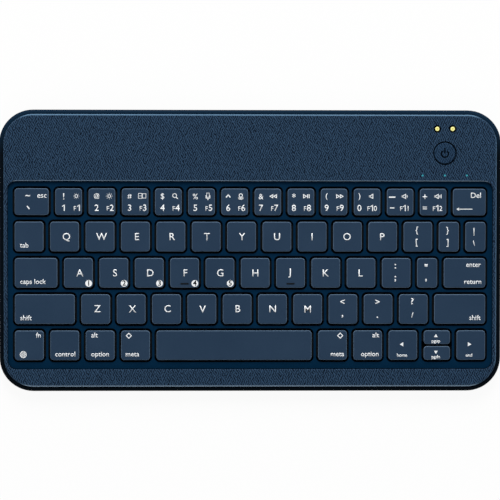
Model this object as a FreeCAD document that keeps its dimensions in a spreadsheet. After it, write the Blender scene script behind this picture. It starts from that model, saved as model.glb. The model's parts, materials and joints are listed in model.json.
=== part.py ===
import FreeCAD, Part
import math
import os

import Sketcher
from FreeCAD import Vector

# A detachable tablet keyboard: a leather-covered deck with a sunk well of keys, over a tray that
# holds the key circuit, the battery and the board. Millimetres, +Z up, +X to the right of a typist,
# +Y away from the typist, origin in the middle of the underside.

doc = FreeCAD.newDocument("tablet_keyboard")
subparts = []

# Driving dimensions

SIZES = (
    ("letter_pitch", 17.0, "letter key to letter key"),
    ("row_pitch", 17.45, "row to row, letter rows and space row"),
    ("number_row_pitch", 16.0, "depth that the shallower number row takes"),
    ("narrow_pitch", 12.9, "narrow keys at the right of two rows"),
    ("esc_pitch", 19.5, "escape key with its gap"),
    ("delete_pitch", 19.0, "delete key with its gap"),
    ("caps_pitch", 23.6, "caps lock key with its gap"),
    ("shift_pitch", 31.9, "left shift key with its gap"),
    ("arrow_pitch", 15.9, "up and down arrows with their gap"),
    ("arrow_split", 1.0, "slit between the up and down arrows"),
    ("cap_gap", 3.2, "space between two caps"),
    ("cap_corner", 1.5, "radius of a cap's upright corners"),
    ("cap_edge", 0.5, "rounding of a cap's top edge"),
    ("cap_wall", 1.0, "wall of a cap"),
    ("cap_roof", 0.9, "top of a cap"),
    ("key_clearance", 1.05, "slit between a cap and the web"),
    ("key_drop", 0.2, "caps below the deck's surface"),
    ("key_travel", 1.2, "how far a key goes down"),
    ("wing_catch", 0.35, "how far a cap's wings reach under the web"),
    ("wing_thickness", 0.4, "thickness of the wings"),
    ("wing_play", 0.05, "play of the wings under the web and over the domes"),
    ("plunger_radius", 1.8, "post under a cap that bears on its dome"),
    ("homing_length", 3.8, "raised bar on the two homing keys"),
    ("homing_width", 0.6, "raised bar, front to back"),
    ("homing_rise", 0.15, "raised bar, above the cap"),
    ("homing_offset", 5.2, "raised bar, in front of the cap's middle"),
    ("well_side", 3.45, "web showing at the left and right of the keys"),
    ("well_end", 3.55, "web showing behind the keys"),
    ("well_front", 4.3, "web showing in front of the keys"),
    ("well_corner", 4.2, "radius of the well's corners"),
    ("well_edge", 0.4, "rounding of the leather at the well"),
    ("well_drop", 1.3, "web below the deck's surface"),
    ("side_strip", 1.95, "leather at the left and right of the well"),
    ("rim_gap", 0.15, "slit between the web's rim and the tray's ledge"),
    ("rim_width", 2.2, "tray's rim showing round the leather"),
    ("rim_drop", 0.9, "tray's rim below the deck's surface"),
    ("rim_round", 1.5, "rounding over the tray's rim"),
    ("ledge", 1.0, "tray's ledge under the edge of the deck"),
    ("deck_fit", 0.05, "slit between the leather and the tray's rim"),
    ("front_border", 10.75, "leather and rim in front of the well"),
    ("back_border", 34.3, "leather and rim behind the well"),
    ("body_corner", 16.4, "radius of the outline's corners"),
    ("deck_edge", 1.0, "rounding of the leather over the edge of the deck"),
    ("frame_edge", 0.45, "rounding of the frame under the leather"),
    ("base_edge", 1.5, "rounding under the tray"),
    ("leather", 0.6, "thickness of the deck's leather"),
    ("glue_line", 0.05, "thickness of the glue under the leather and over the web's rim"),
    ("deck", 1.0, "thickness of the frame's deck"),
    ("tray_floor", 1.0, "floor of the tray"),
    ("base_cover", 0.5, "thickness of the cover under the tray"),
    ("base_inset", 2.0, "margin round the cover under the tray"),
    ("plate", 0.4, "thickness of the steel plate"),
    ("film", 0.25, "thickness of the membrane circuit"),
    ("sheet", 0.25, "thickness of the dome sheet between its domes"),
    ("stack_inset", 0.2, "plate, membrane and dome sheet inside the web's rim"),
    ("folded_dome", 0.3, "height of a dome pressed flat"),
    ("dome_base", 3.4, "radius of a dome at its foot"),
    ("dome_top", 2.1, "radius of a dome at its top"),
    ("dome_wall", 0.35, "wall of a dome"),
    ("web", 0.8, "thickness of the key web"),
    ("web_fit", 0.1, "slit between the web and the well's wall"),
    ("post_radius", 0.4, "posts that hold the web off the plate"),
    ("post_slack", 0.2, "slit round the posts and lugs in the sheets"),
    ("button_right", 27.4, "power button from the right side"),
    ("button_back", 20.75, "power button from the back"),
    ("button_radius", 5.1, "power button"),
    ("button_slit", 0.6, "slit round the power button"),
    ("button_drop", 0.1, "power button below the deck's surface"),
    ("button_flange", 1.0, "power button's flange under the deck"),
    ("button_rim", 0.3, "thickness of the power button's flange"),
    ("button_play", 0.1, "power button's play under the deck"),
    ("button_travel", 0.4, "how far the power button goes in"),
    ("stem_radius", 1.6, "power button's stem"),
    ("stem_slack", 0.15, "slit round the stem in the switch"),
    ("switch_side", 5.2, "power switch, square"),
    ("switch_seat", 0.1, "bottom of the switch's well"),
    ("contact_inset", 0.85, "charging contacts from the board's back edge"),
    ("contact_reveal", 0.35, "ring round a contact in the leather"),
    ("contact_spacing", 7.4, "contact to contact"),
    ("contact_radius", 1.25, "charging contact"),
    ("contact_slack", 0.05, "slit round a contact in the deck"),
    ("contact_flange", 0.65, "contact's flange under the deck"),
    ("contact_pin", 0.5, "contact's pin to the board"),
    ("light_spacing", 10.7, "indicator to indicator"),
    ("light_gap", 1.15, "slit between a light pipe's flange and the web's rim"),
    ("light_margin", 1.3, "board to the left of the first light"),
    ("light_radius", 0.5, "indicator's light pipe"),
    ("light_slack", 0.05, "slit round a light pipe"),
    ("light_flange", 0.4, "light pipe's flange under the deck"),
    ("flange_thickness", 0.5, "flanges of contacts, light pipes and the power button"),
    ("seat_gap", 0.05, "slit between a flange and the deck, and between a light and its pipe"),
    ("surface_drop", 0.05, "contacts and light pipes below the deck's surface"),
    ("board_end", 6.4, "board to the right of the last light"),
    ("board_spare", 0.1, "slit between the pressed power button and its switch"),
    ("board", 0.8, "thickness of the circuit board"),
    ("board_notch", 15.5, "step in the board for the membrane's tail, left to right"),
    ("board_step", 8.0, "step in the board for the membrane's tail, front to back"),
    ("board_post", 1.2, "radius of the posts under the board"),
    ("post_inset", 2.4, "posts from the board's edges"),
    ("chip_side", 6.0, "controller chip, square"),
    ("chip_height", 0.9, "controller chip"),
    ("light_chip", 1.6, "indicator lights on the board, square"),
    ("light_height", 0.6, "indicator lights on the board"),
    ("socket_depth", 3.6, "socket of the membrane's tail, front to back"),
    ("socket_height", 1.1, "socket of the membrane's tail"),
    ("tail_side", 2.25, "board's step at either side of the tail"),
    ("tail_thickness", 0.2, "membrane's tail"),
    ("battery_length", 96.0, "battery"),
    ("battery_corner", 2.0, "radius of the battery's upright corners"),
    ("battery_edge", 0.6, "rounding of the battery's pouch"),
    ("battery_headroom", 0.55, "slit between the battery and the deck"),
    ("bay_gap", 0.6, "slit between the bosses and the battery or board"),
    ("battery_gap", 5.0, "battery behind the well"),
    ("battery_left", 14.0, "battery's middle to the left of the keyboard's"),
    ("lead_radius", 0.4, "battery's leads"),
    ("lead_spacing", 2.4, "lead to lead"),
    ("lead_bend", 6.0, "bend of the leads"),
    ("lead_overlap", 2.0, "leads over the board"),
    ("screw_radius", 0.8, "case screws"),
    ("screw_length", 3.0, "case screws under the head"),
    ("head_radius", 1.5, "head of a case screw"),
    ("head_height", 0.6, "head of a case screw"),
    ("head_slot", 0.4, "slot in the head of a case screw"),
    ("screw_slack", 0.05, "slit round a case screw"),
    ("boss_radius", 2.1, "bosses round the case screws"),
    ("boss_height", 0.6, "bosses above the tray's floor"),
    ("boss_gap", 0.05, "slit between two bosses"),
    ("boss_inset", 2.3, "bosses from the tray's wall at the front and back"),
    ("boss_side", 20.9, "outer bosses from the sides"),
    ("boss_inner", 36.0, "inner bosses from the middle"),
    ("magnet_length", 24.0, "case magnets"),
    ("magnet_width", 4.2, "case magnets"),
    ("magnet_height", 1.8, "case magnets"),
    ("stabiliser_radius", 0.35, "space bar's wire"),
    ("stabiliser_length", 56.0, "space bar's wire between its arms"),
    ("stabiliser_arm", 6.0, "arm of the wire, front to back"),
    ("stabiliser_spare", 0.5, "wire's bar above its feet when the key is down"),
    ("stabiliser_foot", 2.6, "wire's feet"),
    ("stabiliser_bend", 0.9, "bends of the wire"),
    ("stabiliser_roof", 0.25, "slit between the wire's bar and the space bar's roof"),
    ("pivot_slack", 0.06, "slit round the wire's feet in their lugs"),
    ("lug_thickness", 0.6, "lugs of the plate round the wire's feet"),
    ("lug_margin", 0.5, "lug round its hole"),
    ("clip_length", 4.0, "clips of the space bar round its wire"),
    ("clip_wall", 0.6, "walls of the clips"),
    ("clip_slack", 0.15, "slit between the clips and the wire"),
    ("clip_spacing", 32.0, "clip to clip"),
)

sizes = doc.addObject("Spreadsheet::Sheet", "Sizes")
for line, (alias, number, meaning) in enumerate(SIZES, start=1):
    sizes.set(f"A{line}", meaning)
    sizes.set(f"B{line}", str(number))
    sizes.setAlias(f"B{line}", alias)

# Places and levels that follow from the driving dimensions

PLACES = (
    ("field_width", "12 * Sizes.letter_pitch + 2 * Sizes.narrow_pitch - Sizes.cap_gap"),
    ("field_depth", "4 * Sizes.row_pitch + Sizes.number_row_pitch - Sizes.cap_gap"),
    ("row_sum", "Places.field_width + Sizes.cap_gap"),
    ("number_pitch", "(Places.row_sum - Sizes.esc_pitch - Sizes.delete_pitch) / 12"),
    ("enter_pitch", "Places.row_sum - Sizes.caps_pitch - 10 * Sizes.letter_pitch - Sizes.narrow_pitch"),
    ("end_shift_pitch", "Places.row_sum - Sizes.shift_pitch - 10 * Sizes.letter_pitch"),
    ("space_pitch", "Places.row_sum - 8 * Sizes.letter_pitch - Sizes.arrow_pitch"),
    ("post_spacing", "Places.field_width / 6"),
    ("cap_depth", "Sizes.row_pitch - Sizes.cap_gap"),
    ("number_depth", "Sizes.number_row_pitch - Sizes.cap_gap"),
    ("arrow_depth", "(Places.cap_depth - Sizes.arrow_split) / 2"),
    ("well_width", "Places.field_width + 2 * Sizes.well_side"),
    ("well_depth", "Places.field_depth + Sizes.well_end + Sizes.well_front"),
    ("frame_inset", "Sizes.rim_width + Sizes.leather + Sizes.glue_line"),
    ("rim_reach", "Sizes.side_strip - Sizes.ledge - Sizes.rim_gap"),
    ("stack_reach", "Places.rim_reach - Sizes.stack_inset"),
    ("side_border", "Sizes.side_strip + Sizes.rim_width"),
    ("tray_wall", "Sizes.rim_width + Sizes.ledge"),
    ("body_width", "Places.well_width + 2 * Places.side_border"),
    ("body_depth", "Places.well_depth + Sizes.front_border + Sizes.back_border"),
    ("well_back", "Places.body_depth / 2 - Sizes.back_border"),
    ("well_middle", "Places.well_back - Places.well_depth / 2"),
    ("field_left", "-Places.field_width / 2 - Sizes.cap_gap / 2"),
    ("number_row", "Places.well_back - Sizes.well_end - Places.number_depth / 2"),
    ("top_row", "Places.number_row - Sizes.number_row_pitch / 2 - Sizes.row_pitch / 2"),
    ("home_row", "Places.top_row - Sizes.row_pitch"),
    ("bottom_row", "Places.home_row - Sizes.row_pitch"),
    ("space_row", "Places.bottom_row - Sizes.row_pitch"),
    ("floor_level", "Sizes.base_cover + Sizes.tray_floor"),
    ("plate_level", "Places.floor_level + Sizes.plate"),
    ("film_level", "Places.plate_level + Sizes.film"),
    ("sheet_level", "Places.film_level + Sizes.sheet"),
    ("dome_level", "Places.sheet_level + Sizes.key_travel + Sizes.folded_dome"),
    ("wing_bottom", "Places.dome_level + Sizes.wing_play"),
    ("wing_top", "Places.wing_bottom + Sizes.wing_thickness"),
    ("web_bottom", "Places.wing_top + Sizes.wing_play"),
    ("web_top", "Places.web_bottom + Sizes.web"),
    ("surface", "Places.web_top + Sizes.well_drop"),
    ("key_top", "Places.surface - Sizes.key_drop"),
    ("roof", "Places.key_top - Sizes.cap_roof"),
    ("tray_top", "Places.surface - Sizes.rim_drop"),
    ("skin_bottom", "Places.surface - Sizes.leather"),
    ("frame_top", "Places.skin_bottom - Sizes.glue_line"),
    ("deck_bottom", "Places.frame_top - Sizes.deck"),
    ("rim_top", "Places.deck_bottom - Sizes.glue_line"),
    ("button_x", "Places.body_width / 2 - Sizes.button_right"),
    ("button_y", "Places.body_depth / 2 - Sizes.button_back"),
    ("contact_hole", "Sizes.contact_radius + Sizes.contact_slack + Sizes.contact_reveal"),
    ("contact_y", "Places.bay_back - Sizes.contact_inset"),
    ("light_rim", "Sizes.light_radius + Sizes.light_flange"),
    ("light_y", "Places.well_back + Places.rim_reach + Sizes.light_gap + Places.light_rim"),
    ("flange_top", "Places.deck_bottom - Sizes.seat_gap"),
    ("flange_bottom", "Places.flange_top - Sizes.flange_thickness"),
    ("part_top", "Places.surface - Sizes.surface_drop"),
    ("switch_height", "Sizes.switch_seat + Sizes.button_travel + Sizes.seat_gap"),
    ("button_drop_room", "Sizes.button_play + Sizes.button_rim + Sizes.button_travel + Sizes.board_spare"),
    ("board_top", "Places.deck_bottom - Places.button_drop_room - Places.switch_height"),
    ("board_bottom", "Places.board_top - Sizes.board"),
    ("bay_back", "Places.boss_y - Sizes.boss_radius - Sizes.bay_gap"),
    ("notch_edge", "Places.button_x - Sizes.light_spacing - Sizes.light_chip / 2 - Sizes.light_margin"),
    ("board_left", "Places.notch_edge - Sizes.board_notch"),
    ("board_right", "Places.button_x + Sizes.light_spacing + Sizes.light_chip / 2 + Sizes.board_end"),
    ("board_front", "Places.light_y - Sizes.light_chip / 2"),
    ("board_length", "Places.board_right - Places.board_left"),
    ("board_width", "Places.bay_back - Places.board_front"),
    ("tail_width", "Sizes.board_notch - 2 * Sizes.tail_side"),
    ("socket_x", "Places.board_left + Sizes.board_notch / 2"),
    ("socket_front", "Places.board_front + Sizes.board_step + Sizes.tail_thickness"),
    ("light_top", "Places.board_top + Sizes.light_height"),
    ("battery_x", "-Sizes.battery_left"),
    ("battery_front", "Places.well_back + Sizes.battery_gap"),
    ("battery_width", "Places.bay_back - Places.battery_front"),
    ("battery_y", "(Places.bay_back + Places.battery_front) / 2"),
    ("battery_top", "Places.deck_bottom - Sizes.battery_headroom"),
    ("boss_level", "Places.floor_level + Sizes.boss_height"),
    ("boss_y", "Places.body_depth / 2 - Places.tray_wall - Sizes.boss_inset"),
    ("boss_outer", "Places.body_width / 2 - Sizes.boss_side"),
    ("boss_middle", "(Sizes.boss_inner + Places.boss_outer) / 2"),
    ("bar_level", "Places.roof - Sizes.stabiliser_roof - Sizes.stabiliser_radius"),
    ("stabiliser_rise", "Sizes.key_travel + Sizes.stabiliser_spare"),
    ("pivot_level", "Places.bar_level - Places.stabiliser_rise"),
    ("lug_hole", "Sizes.stabiliser_radius + Sizes.pivot_slack"),
    ("lug_width", "2 * (Places.lug_hole + Sizes.lug_margin)"),
    ("lug_x", "(Sizes.stabiliser_length + Sizes.stabiliser_foot) / 2 + Sizes.stabiliser_bend / 2"),
    ("pivot_y", "Places.space_row - Sizes.stabiliser_arm / 2"),
    ("space_x", "Places.field_left + 4 * Sizes.letter_pitch + Places.space_pitch / 2"),
)

places = doc.addObject("Spreadsheet::Sheet", "Places")
for line, (alias, formula) in enumerate(PLACES, start=1):
    places.set(f"A{line}", alias.replace("_", " "))
    places.set(f"B{line}", "=" + formula.replace("Places.", ""))
    places.setAlias(f"B{line}", alias)
doc.recompute()


def value(expression):
    return float(places.evalExpression(str(expression)))


# Tools for building bodies


def new_body(name):
    body = doc.addObject("PartDesign::Body", name)
    body.Label = name
    return body


def origin_feature(body, role):
    return next(feature for feature in body.Origin.OriginFeatures if feature.Role == role)


def bind(item, **expressions):
    for name, expression in expressions.items():
        item.setExpression(name, str(expression))


def place(item, x="0", y="0", z="0", frame="Placement"):
    for axis, expression in zip("xyz", (x, y, z)):
        item.setExpression(f"{frame}.Base.{axis}", str(expression))


def rounded_rectangle(body, name, width, depth, radius, level, x="0", y="0"):
    sketch = body.newObject("Sketcher::SketchObject", f"{body.Name}_{name}")
    sketch.AttachmentSupport = [(origin_feature(body, "XY_Plane"), "")]
    sketch.MapMode = "FlatFace"
    place(sketch, x, y, level, frame="AttachmentOffset")
    right, back, bend = value(width) / 2, value(depth) / 2, value(radius)
    corners = ((right, -back), (right, back), (-right, back), (-right, -back))
    inner = [Vector(px - math.copysign(bend, px), py - math.copysign(bend, py)) for px, py in corners]
    outward = (Vector(0, -bend), Vector(bend, 0), Vector(0, bend), Vector(-bend, 0))
    for side in range(4):
        sketch.addGeometry(Part.LineSegment(inner[side - 1] + outward[side], inner[side] + outward[side]))
    for side in range(4):
        circle = Part.Circle(inner[side], Vector(0, 0, 1), bend)
        start = (side - 1) * math.pi / 2
        sketch.addGeometry(Part.ArcOfCircle(circle, start, start + math.pi / 2))
    rules = []
    for side in range(4):
        rules.append(Sketcher.Constraint("Tangent", side, 2, 4 + side, 1))
        rules.append(Sketcher.Constraint("Tangent", 4 + side, 2, (side + 1) % 4, 1))
        rules.append(Sketcher.Constraint("Vertical" if side % 2 else "Horizontal", side))
    for arc in (5, 6, 7):
        rules.append(Sketcher.Constraint("Equal", 4, arc))
    rules.append(Sketcher.Constraint("Symmetric", 4, 3, 6, 3, -1, 1))
    sketch.addConstraint(rules)
    named = (("width", ("DistanceX", 3, 1, 1, 1, 2 * right), width),
             ("depth", ("DistanceY", 0, 1, 2, 1, 2 * back), depth),
             ("bend", ("Radius", 4, bend), radius))
    for label, rule, expression in named:
        index = sketch.addConstraint(Sketcher.Constraint(*rule))
        sketch.renameConstraint(index, label)
        sketch.setExpression(f"Constraints.{label}", str(expression))
    return sketch


def pad(body, sketch, bottom, top):
    feature = body.newObject("PartDesign::Pad", f"{sketch.Name}_pad")
    feature.Refine = False
    feature.Profile = sketch
    bind(feature, Length=f"{top} - ({bottom})")
    doc.recompute()
    return feature


def pocket(body, sketch, bottom, top):
    before = body.Shape.Volume
    feature = body.newObject("PartDesign::Pocket", f"{sketch.Name}_pocket")
    feature.Refine = False
    feature.Profile = sketch
    feature.Reversed = True
    bind(feature, Length=f"{top} - ({bottom})")
    doc.recompute()
    if body.Shape.Volume >= before:
        raise RuntimeError(f"{feature.Name} cut nothing")
    return feature


def slab(body, name, width, depth, radius, bottom, top, x="0", y="0"):
    sketch = rounded_rectangle(body, name, width, depth, radius, bottom, x, y)
    return pad(body, sketch, bottom, top)


def hollow(body, name, width, depth, radius, bottom, top, x="0", y="0"):
    sketch = rounded_rectangle(body, name, width, depth, radius, bottom, x, y)
    return pocket(body, sketch, bottom, top)


def block(body, kind, name, length, width, bottom, top, x="0", y="0"):
    feature = body.newObject(f"PartDesign::{kind}Box", f"{body.Name}_{name}")
    feature.Refine = False
    bind(feature, Length=length, Width=width, Height=f"{top} - ({bottom})")
    place(feature, f"{x} - ({length}) / 2", f"{y} - ({width}) / 2", bottom)
    return feature


def cylinder(body, kind, name, radius, bottom, top, x="0", y="0"):
    feature = body.newObject(f"PartDesign::{kind}Cylinder", f"{body.Name}_{name}")
    feature.Refine = False
    bind(feature, Radius=radius, Height=f"{top} - ({bottom})")
    place(feature, x, y, bottom)
    return feature


def cone(body, kind, name, foot, head, bottom, top, x="0", y="0"):
    feature = body.newObject(f"PartDesign::{kind}Cone", f"{body.Name}_{name}")
    feature.Refine = False
    bind(feature, Radius1=foot, Radius2=head, Height=f"{top} - ({bottom})")
    place(feature, x, y, bottom)
    return feature


def repeat(body, original, pitch, count):
    if count > 1:
        doc.recompute()
        pattern = body.newObject("PartDesign::LinearPattern", f"{original.Name}_row")
        pattern.Refine = False
        pattern.Originals = [original]
        pattern.Direction = (origin_feature(body, "X_Axis"), [""])
        pattern.Occurrences = count
        bind(pattern, Length=f"({pitch}) * {count - 1}")
        body.Tip = pattern
        doc.recompute()


def round_edges(body, name, level, radius, keep=lambda edge: True):
    doc.recompute()
    base, height = body.Tip, value(level)
    edges = []
    for index, edge in enumerate(base.Shape.Edges, start=1):
        box = edge.BoundBox
        if abs(box.ZMin - height) < 1e-6 and abs(box.ZMax - height) < 1e-6 and keep(edge):
            edges.append(f"Edge{index}")
    feature = body.newObject("PartDesign::Fillet", f"{body.Name}_{name}")
    feature.Refine = False
    feature.Base = (base, edges)
    bind(feature, Radius=radius)
    doc.recompute()
    return feature


def open_below(body, level, thickness):
    """Turns the solid into a skin of even thickness that is open at its flat underside."""
    base, height = body.Tip, value(level)
    faces = []
    for index, face in enumerate(base.Shape.Faces, start=1):
        if abs(face.BoundBox.ZMax - height) < 1e-6:
            faces.append(f"Face{index}")
    feature = body.newObject("PartDesign::Thickness", f"{body.Name}_skin")
    feature.Base = (base, faces)
    feature.Reversed = True
    bind(feature, Value=thickness)
    doc.recompute()
    return feature


def group(name, members):
    compound = doc.addObject("Part::Compound", name)
    compound.Label = name
    compound.Links = members
    subparts.append(compound)


def join(name, members):
    fused = doc.addObject("Part::MultiFuse", name)
    fused.Label = name
    fused.Refine = False
    fused.Shapes = members
    return fused


def cut_away(name, base, tools):
    removed = doc.addObject("Part::Compound", f"{name}_openings")
    removed.Links = tools
    result = doc.addObject("Part::Cut", name)
    result.Label = name
    result.Refine = False
    result.Base = base
    result.Tool = removed
    return result


def bent_path(points, bend):
    """A wire through the points, straight between them, with one arc of the same radius at each bend."""
    edges, start = [], points[0]
    for before, corner, after in zip(points, points[1:], points[2:]):
        inward, outward = (before - corner).normalize(), (after - corner).normalize()
        turn = math.pi - inward.getAngle(outward)
        reach = bend * math.tan(turn / 2)
        middle = (inward + outward).normalize() * (bend / math.cos(turn / 2) - bend)
        first, last = corner + inward * reach, corner + outward * reach
        edges.append(Part.LineSegment(start, first).toShape())
        edges.append(Part.Arc(first, corner + middle, last).toShape())
        start = last
    edges.append(Part.LineSegment(start, points[-1]).toShape())
    return Part.Wire(edges)


def round_rod(path, radius):
    """A round rod along a path of straight runs and tangent arcs."""
    start = path.Edges[0].firstVertex().Point
    direction = path.Edges[0].lastVertex().Point - start
    section = Part.Wire(Part.makeCircle(radius, start, direction))
    rod = path.makePipeShell([section], True, False)
    expected = math.pi * radius ** 2 * path.Length
    if abs(rod.Volume - expected) > 0.01 * expected:
        raise RuntimeError("a rod's volume is not its section times its length")
    return rod


# The layout of the keys: each row's place, cap depth, and runs of keys that share a pitch

NUMBERS = "1 2 3 4 5 6 7 8 9 0 minus equals".split()
TOP_LETTERS = "q w e r t y u i o p".split()
HOME_LETTERS = "a s d f g h j k l".split()
BOTTOM_LETTERS = "z x c v b n m".split()
HOMING = ("f", "j")
ARROW_PAIR = "up_down"

LETTER = "Sizes.letter_pitch"
NARROW = "Sizes.narrow_pitch"

ROWS = (
    ("Places.number_row", "Places.number_depth", (
        (("esc",), "Sizes.esc_pitch"),
        (NUMBERS, "Places.number_pitch"),
        (("delete",), "Sizes.delete_pitch"))),
    ("Places.top_row", "Places.cap_depth", (
        (["tab", *TOP_LETTERS, "left_bracket"], LETTER),
        (("right_bracket", "backslash"), NARROW))),
    ("Places.home_row", "Places.cap_depth", (
        (("caps_lock",), "Sizes.caps_pitch"),
        ([*HOME_LETTERS, "semicolon"], LETTER),
        (("quote",), NARROW),
        (("enter",), "Places.enter_pitch"))),
    ("Places.bottom_row", "Places.cap_depth", (
        (("left_shift",), "Sizes.shift_pitch"),
        ([*BOTTOM_LETTERS, "comma", "full_stop", "slash"], LETTER),
        (("right_shift",), "Places.end_shift_pitch"))),
    ("Places.space_row", "Places.cap_depth", (
        (("fn", "control", "left_alt", "left_meta"), LETTER),
        (("space_bar",), "Places.space_pitch"),
        (("right_meta", "right_alt", "left_arrow"), LETTER),
        ((ARROW_PAIR,), "Sizes.arrow_pitch"),
        (("right_arrow",), LETTER))),
)

# Keys that share a node, because there are more keys than nodes to hold them
KEY_GROUPS = {
    "number_keys": NUMBERS,
    "sign_keys": "left_bracket right_bracket backslash semicolon quote comma full_stop slash".split(),
    "modifier_keys": "fn control left_alt left_meta right_meta right_alt".split(),
}


def key_runs():
    """Each run of keys as its names, pitch, row, cap depth and the middle of its first key."""
    for row, depth, runs in ROWS:
        left = "Places.field_left"
        for names, pitch in runs:
            yield names, pitch, row, depth, f"{left} + ({pitch}) / 2"
            left = f"{left} + {len(names)} * {pitch}"


def arrow_middle(side):
    return f"Places.space_row + {side} * (Places.arrow_depth + Sizes.arrow_split) / 2"


def key_spots():
    """Each key as its name, cap width, cap depth and middle."""
    for names, pitch, row, depth, first in key_runs():
        width = f"({pitch} - Sizes.cap_gap)"
        for step, name in enumerate(names):
            if name == ARROW_PAIR:
                yield "up_arrow", width, "Places.arrow_depth", first, arrow_middle(1)
                yield "down_arrow", width, "Places.arrow_depth", first, arrow_middle(-1)
            else:
                yield name, width, depth, f"{first} + {step} * {pitch}", row


# Sub-parts of the case


def boss_spots():
    for side in (-1, 1):
        for offset in ("Sizes.boss_inner", "Places.boss_outer"):
            for end in (-1, 1):
                yield f"{side} * {offset}", f"{end} * Places.boss_y"


def inset_outline(inset):
    """Width, depth and corner radius of the outline, drawn in by an inset."""
    return (f"Places.body_width - 2 * ({inset})", f"Places.body_depth - 2 * ({inset})",
            f"Sizes.body_corner - ({inset})")


def make_base_cover():
    body = new_body("base_cover")
    slab(body, "outline", *inset_outline("Sizes.base_inset"), "0", "Sizes.base_cover")
    subparts.append(body)


def make_tray():
    body = new_body("tray")
    slab(body, "outline", *inset_outline("0"), "Sizes.base_cover", "Places.tray_top")
    round_edges(body, "base_edge", "Sizes.base_cover", "Sizes.base_edge")
    round_edges(body, "rim_round", "Places.tray_top", "Sizes.rim_round")
    hollow(body, "inside", *inset_outline("Places.tray_wall"), "Places.floor_level", "Places.deck_bottom")
    hollow(body, "seat", *inset_outline("Sizes.rim_width - Sizes.deck_fit"),
           "Places.deck_bottom", "Places.tray_top")
    for number, (x, y) in enumerate(boss_spots()):
        cylinder(body, "Additive", f"boss_{number}", "Sizes.boss_radius",
                 "Sizes.base_cover", "Places.boss_level", x, y)
        cylinder(body, "Subtractive", f"screw_hole_{number}", "Sizes.screw_radius + Sizes.screw_slack",
                 "Sizes.base_cover", "Places.boss_level", x, y)
        cylinder(body, "Subtractive", f"head_hole_{number}", "Sizes.head_radius + Sizes.screw_slack",
                 "Sizes.base_cover", "Sizes.base_cover + Sizes.head_height", x, y)
    for number, (x, y) in enumerate(board_post_spots()):
        cylinder(body, "Additive", f"board_post_{number}", "Sizes.board_post",
                 "Sizes.base_cover", "Places.board_bottom", x, y)
    subparts.append(body)


def board_post_spots():
    right, back = "Places.board_right - Sizes.post_inset", "Places.bay_back - Sizes.post_inset"
    front = "Places.board_front + Sizes.post_inset"
    yield "Places.board_left + Sizes.post_inset", back
    yield right, back
    yield right, front
    yield "Places.notch_edge + Sizes.post_inset", front


def deck_holes(body, bottom, top, contact):
    cylinder(body, "Subtractive", "button_hole", "Sizes.button_radius + Sizes.button_slit",
             bottom, top, "Places.button_x", "Places.button_y")
    for side in (-1, 1):
        cylinder(body, "Subtractive", f"contact_hole_{side + 1}", contact, bottom, top,
                 f"Places.button_x + {side} * Sizes.contact_spacing / 2", "Places.contact_y")
    for step in (-1, 0, 1):
        cylinder(body, "Subtractive", f"light_hole_{step + 1}", "Sizes.light_radius + Sizes.light_slack",
                 bottom, top, f"Places.button_x + {step} * Sizes.light_spacing", "Places.light_y")


def make_frame():
    body = new_body("deck_frame")
    slab(body, "outline", *inset_outline("Places.frame_inset"), "Places.deck_bottom", "Places.frame_top")
    round_edges(body, "frame_edge", "Places.frame_top", "Sizes.frame_edge")
    hollow(body, "well", "Places.well_width", "Places.well_depth", "Sizes.well_corner",
           "Places.deck_bottom", "Places.frame_top", y="Places.well_middle")
    deck_holes(body, "Places.deck_bottom", "Places.frame_top", "Sizes.contact_radius + Sizes.contact_slack")
    for number, (x, y) in enumerate(boss_spots()):
        cylinder(body, "Additive", f"boss_{number}", "Sizes.boss_radius",
                 "Places.boss_level + Sizes.boss_gap", "Places.deck_bottom + Sizes.deck / 2", x, y)
        cylinder(body, "Subtractive", f"screw_hole_{number}", "Sizes.screw_radius + Sizes.screw_slack",
                 "Places.boss_level + Sizes.boss_gap",
                 "Sizes.base_cover + Sizes.head_height + Sizes.screw_length + Sizes.screw_slack", x, y)
    subparts.append(body)


def make_leather():
    body = new_body("deck_leather")
    slab(body, "outline", *inset_outline("Sizes.rim_width"), "Places.deck_bottom", "Places.surface")
    round_edges(body, "deck_edge", "Places.surface", "Sizes.deck_edge")
    open_below(body, "Places.deck_bottom", "Sizes.leather")
    hollow(body, "well", "Places.well_width", "Places.well_depth", "Sizes.well_corner",
           "Places.skin_bottom", "Places.surface", y="Places.well_middle")
    side, back = value("Places.well_width") / 2, value("Places.well_back")
    front = back - value("Places.well_depth")

    def at_well(edge):
        middle = edge.BoundBox.Center
        return abs(middle.x) < side + 0.01 and front - 0.01 < middle.y < back + 0.01

    round_edges(body, "well_edge", "Places.surface", "Sizes.well_edge", at_well)
    deck_holes(body, "Places.skin_bottom", "Places.surface", "Places.contact_hole")
    subparts.append(body)


# Sub-parts of the key bed


def post_rows():
    yield "Places.number_row - Sizes.number_row_pitch / 2"
    for row in ("Places.top_row", "Places.home_row", "Places.bottom_row"):
        yield f"{row} - Sizes.row_pitch / 2"


POSTS_IN_A_ROW = 6
FIRST_POST = f"-{(POSTS_IN_A_ROW - 1) / 2} * Places.post_spacing"


def posts(name, radius, bottom, top):
    """The posts in each gap between two rows, or the holes for them."""
    for number, y in enumerate(post_rows()):
        body = new_body(f"{name}_{number}")
        post = cylinder(body, "Additive", "post", radius, bottom, top, FIRST_POST, y)
        repeat(body, post, "Places.post_spacing", POSTS_IN_A_ROW)
        yield body


def openings():
    """The openings of the web, one body for each run of keys."""
    for names, pitch, row, depth, first in key_runs():
        body = new_body(f"opening_{names[0]}")
        opening = slab(body, "prism", f"{pitch} - Sizes.cap_gap + 2 * Sizes.key_clearance",
                       f"{depth} + 2 * Sizes.key_clearance", "Sizes.cap_corner + Sizes.key_clearance",
                       "Places.web_bottom", "Places.web_top", first, row)
        repeat(body, opening, pitch, len(names))
        yield body


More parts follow.
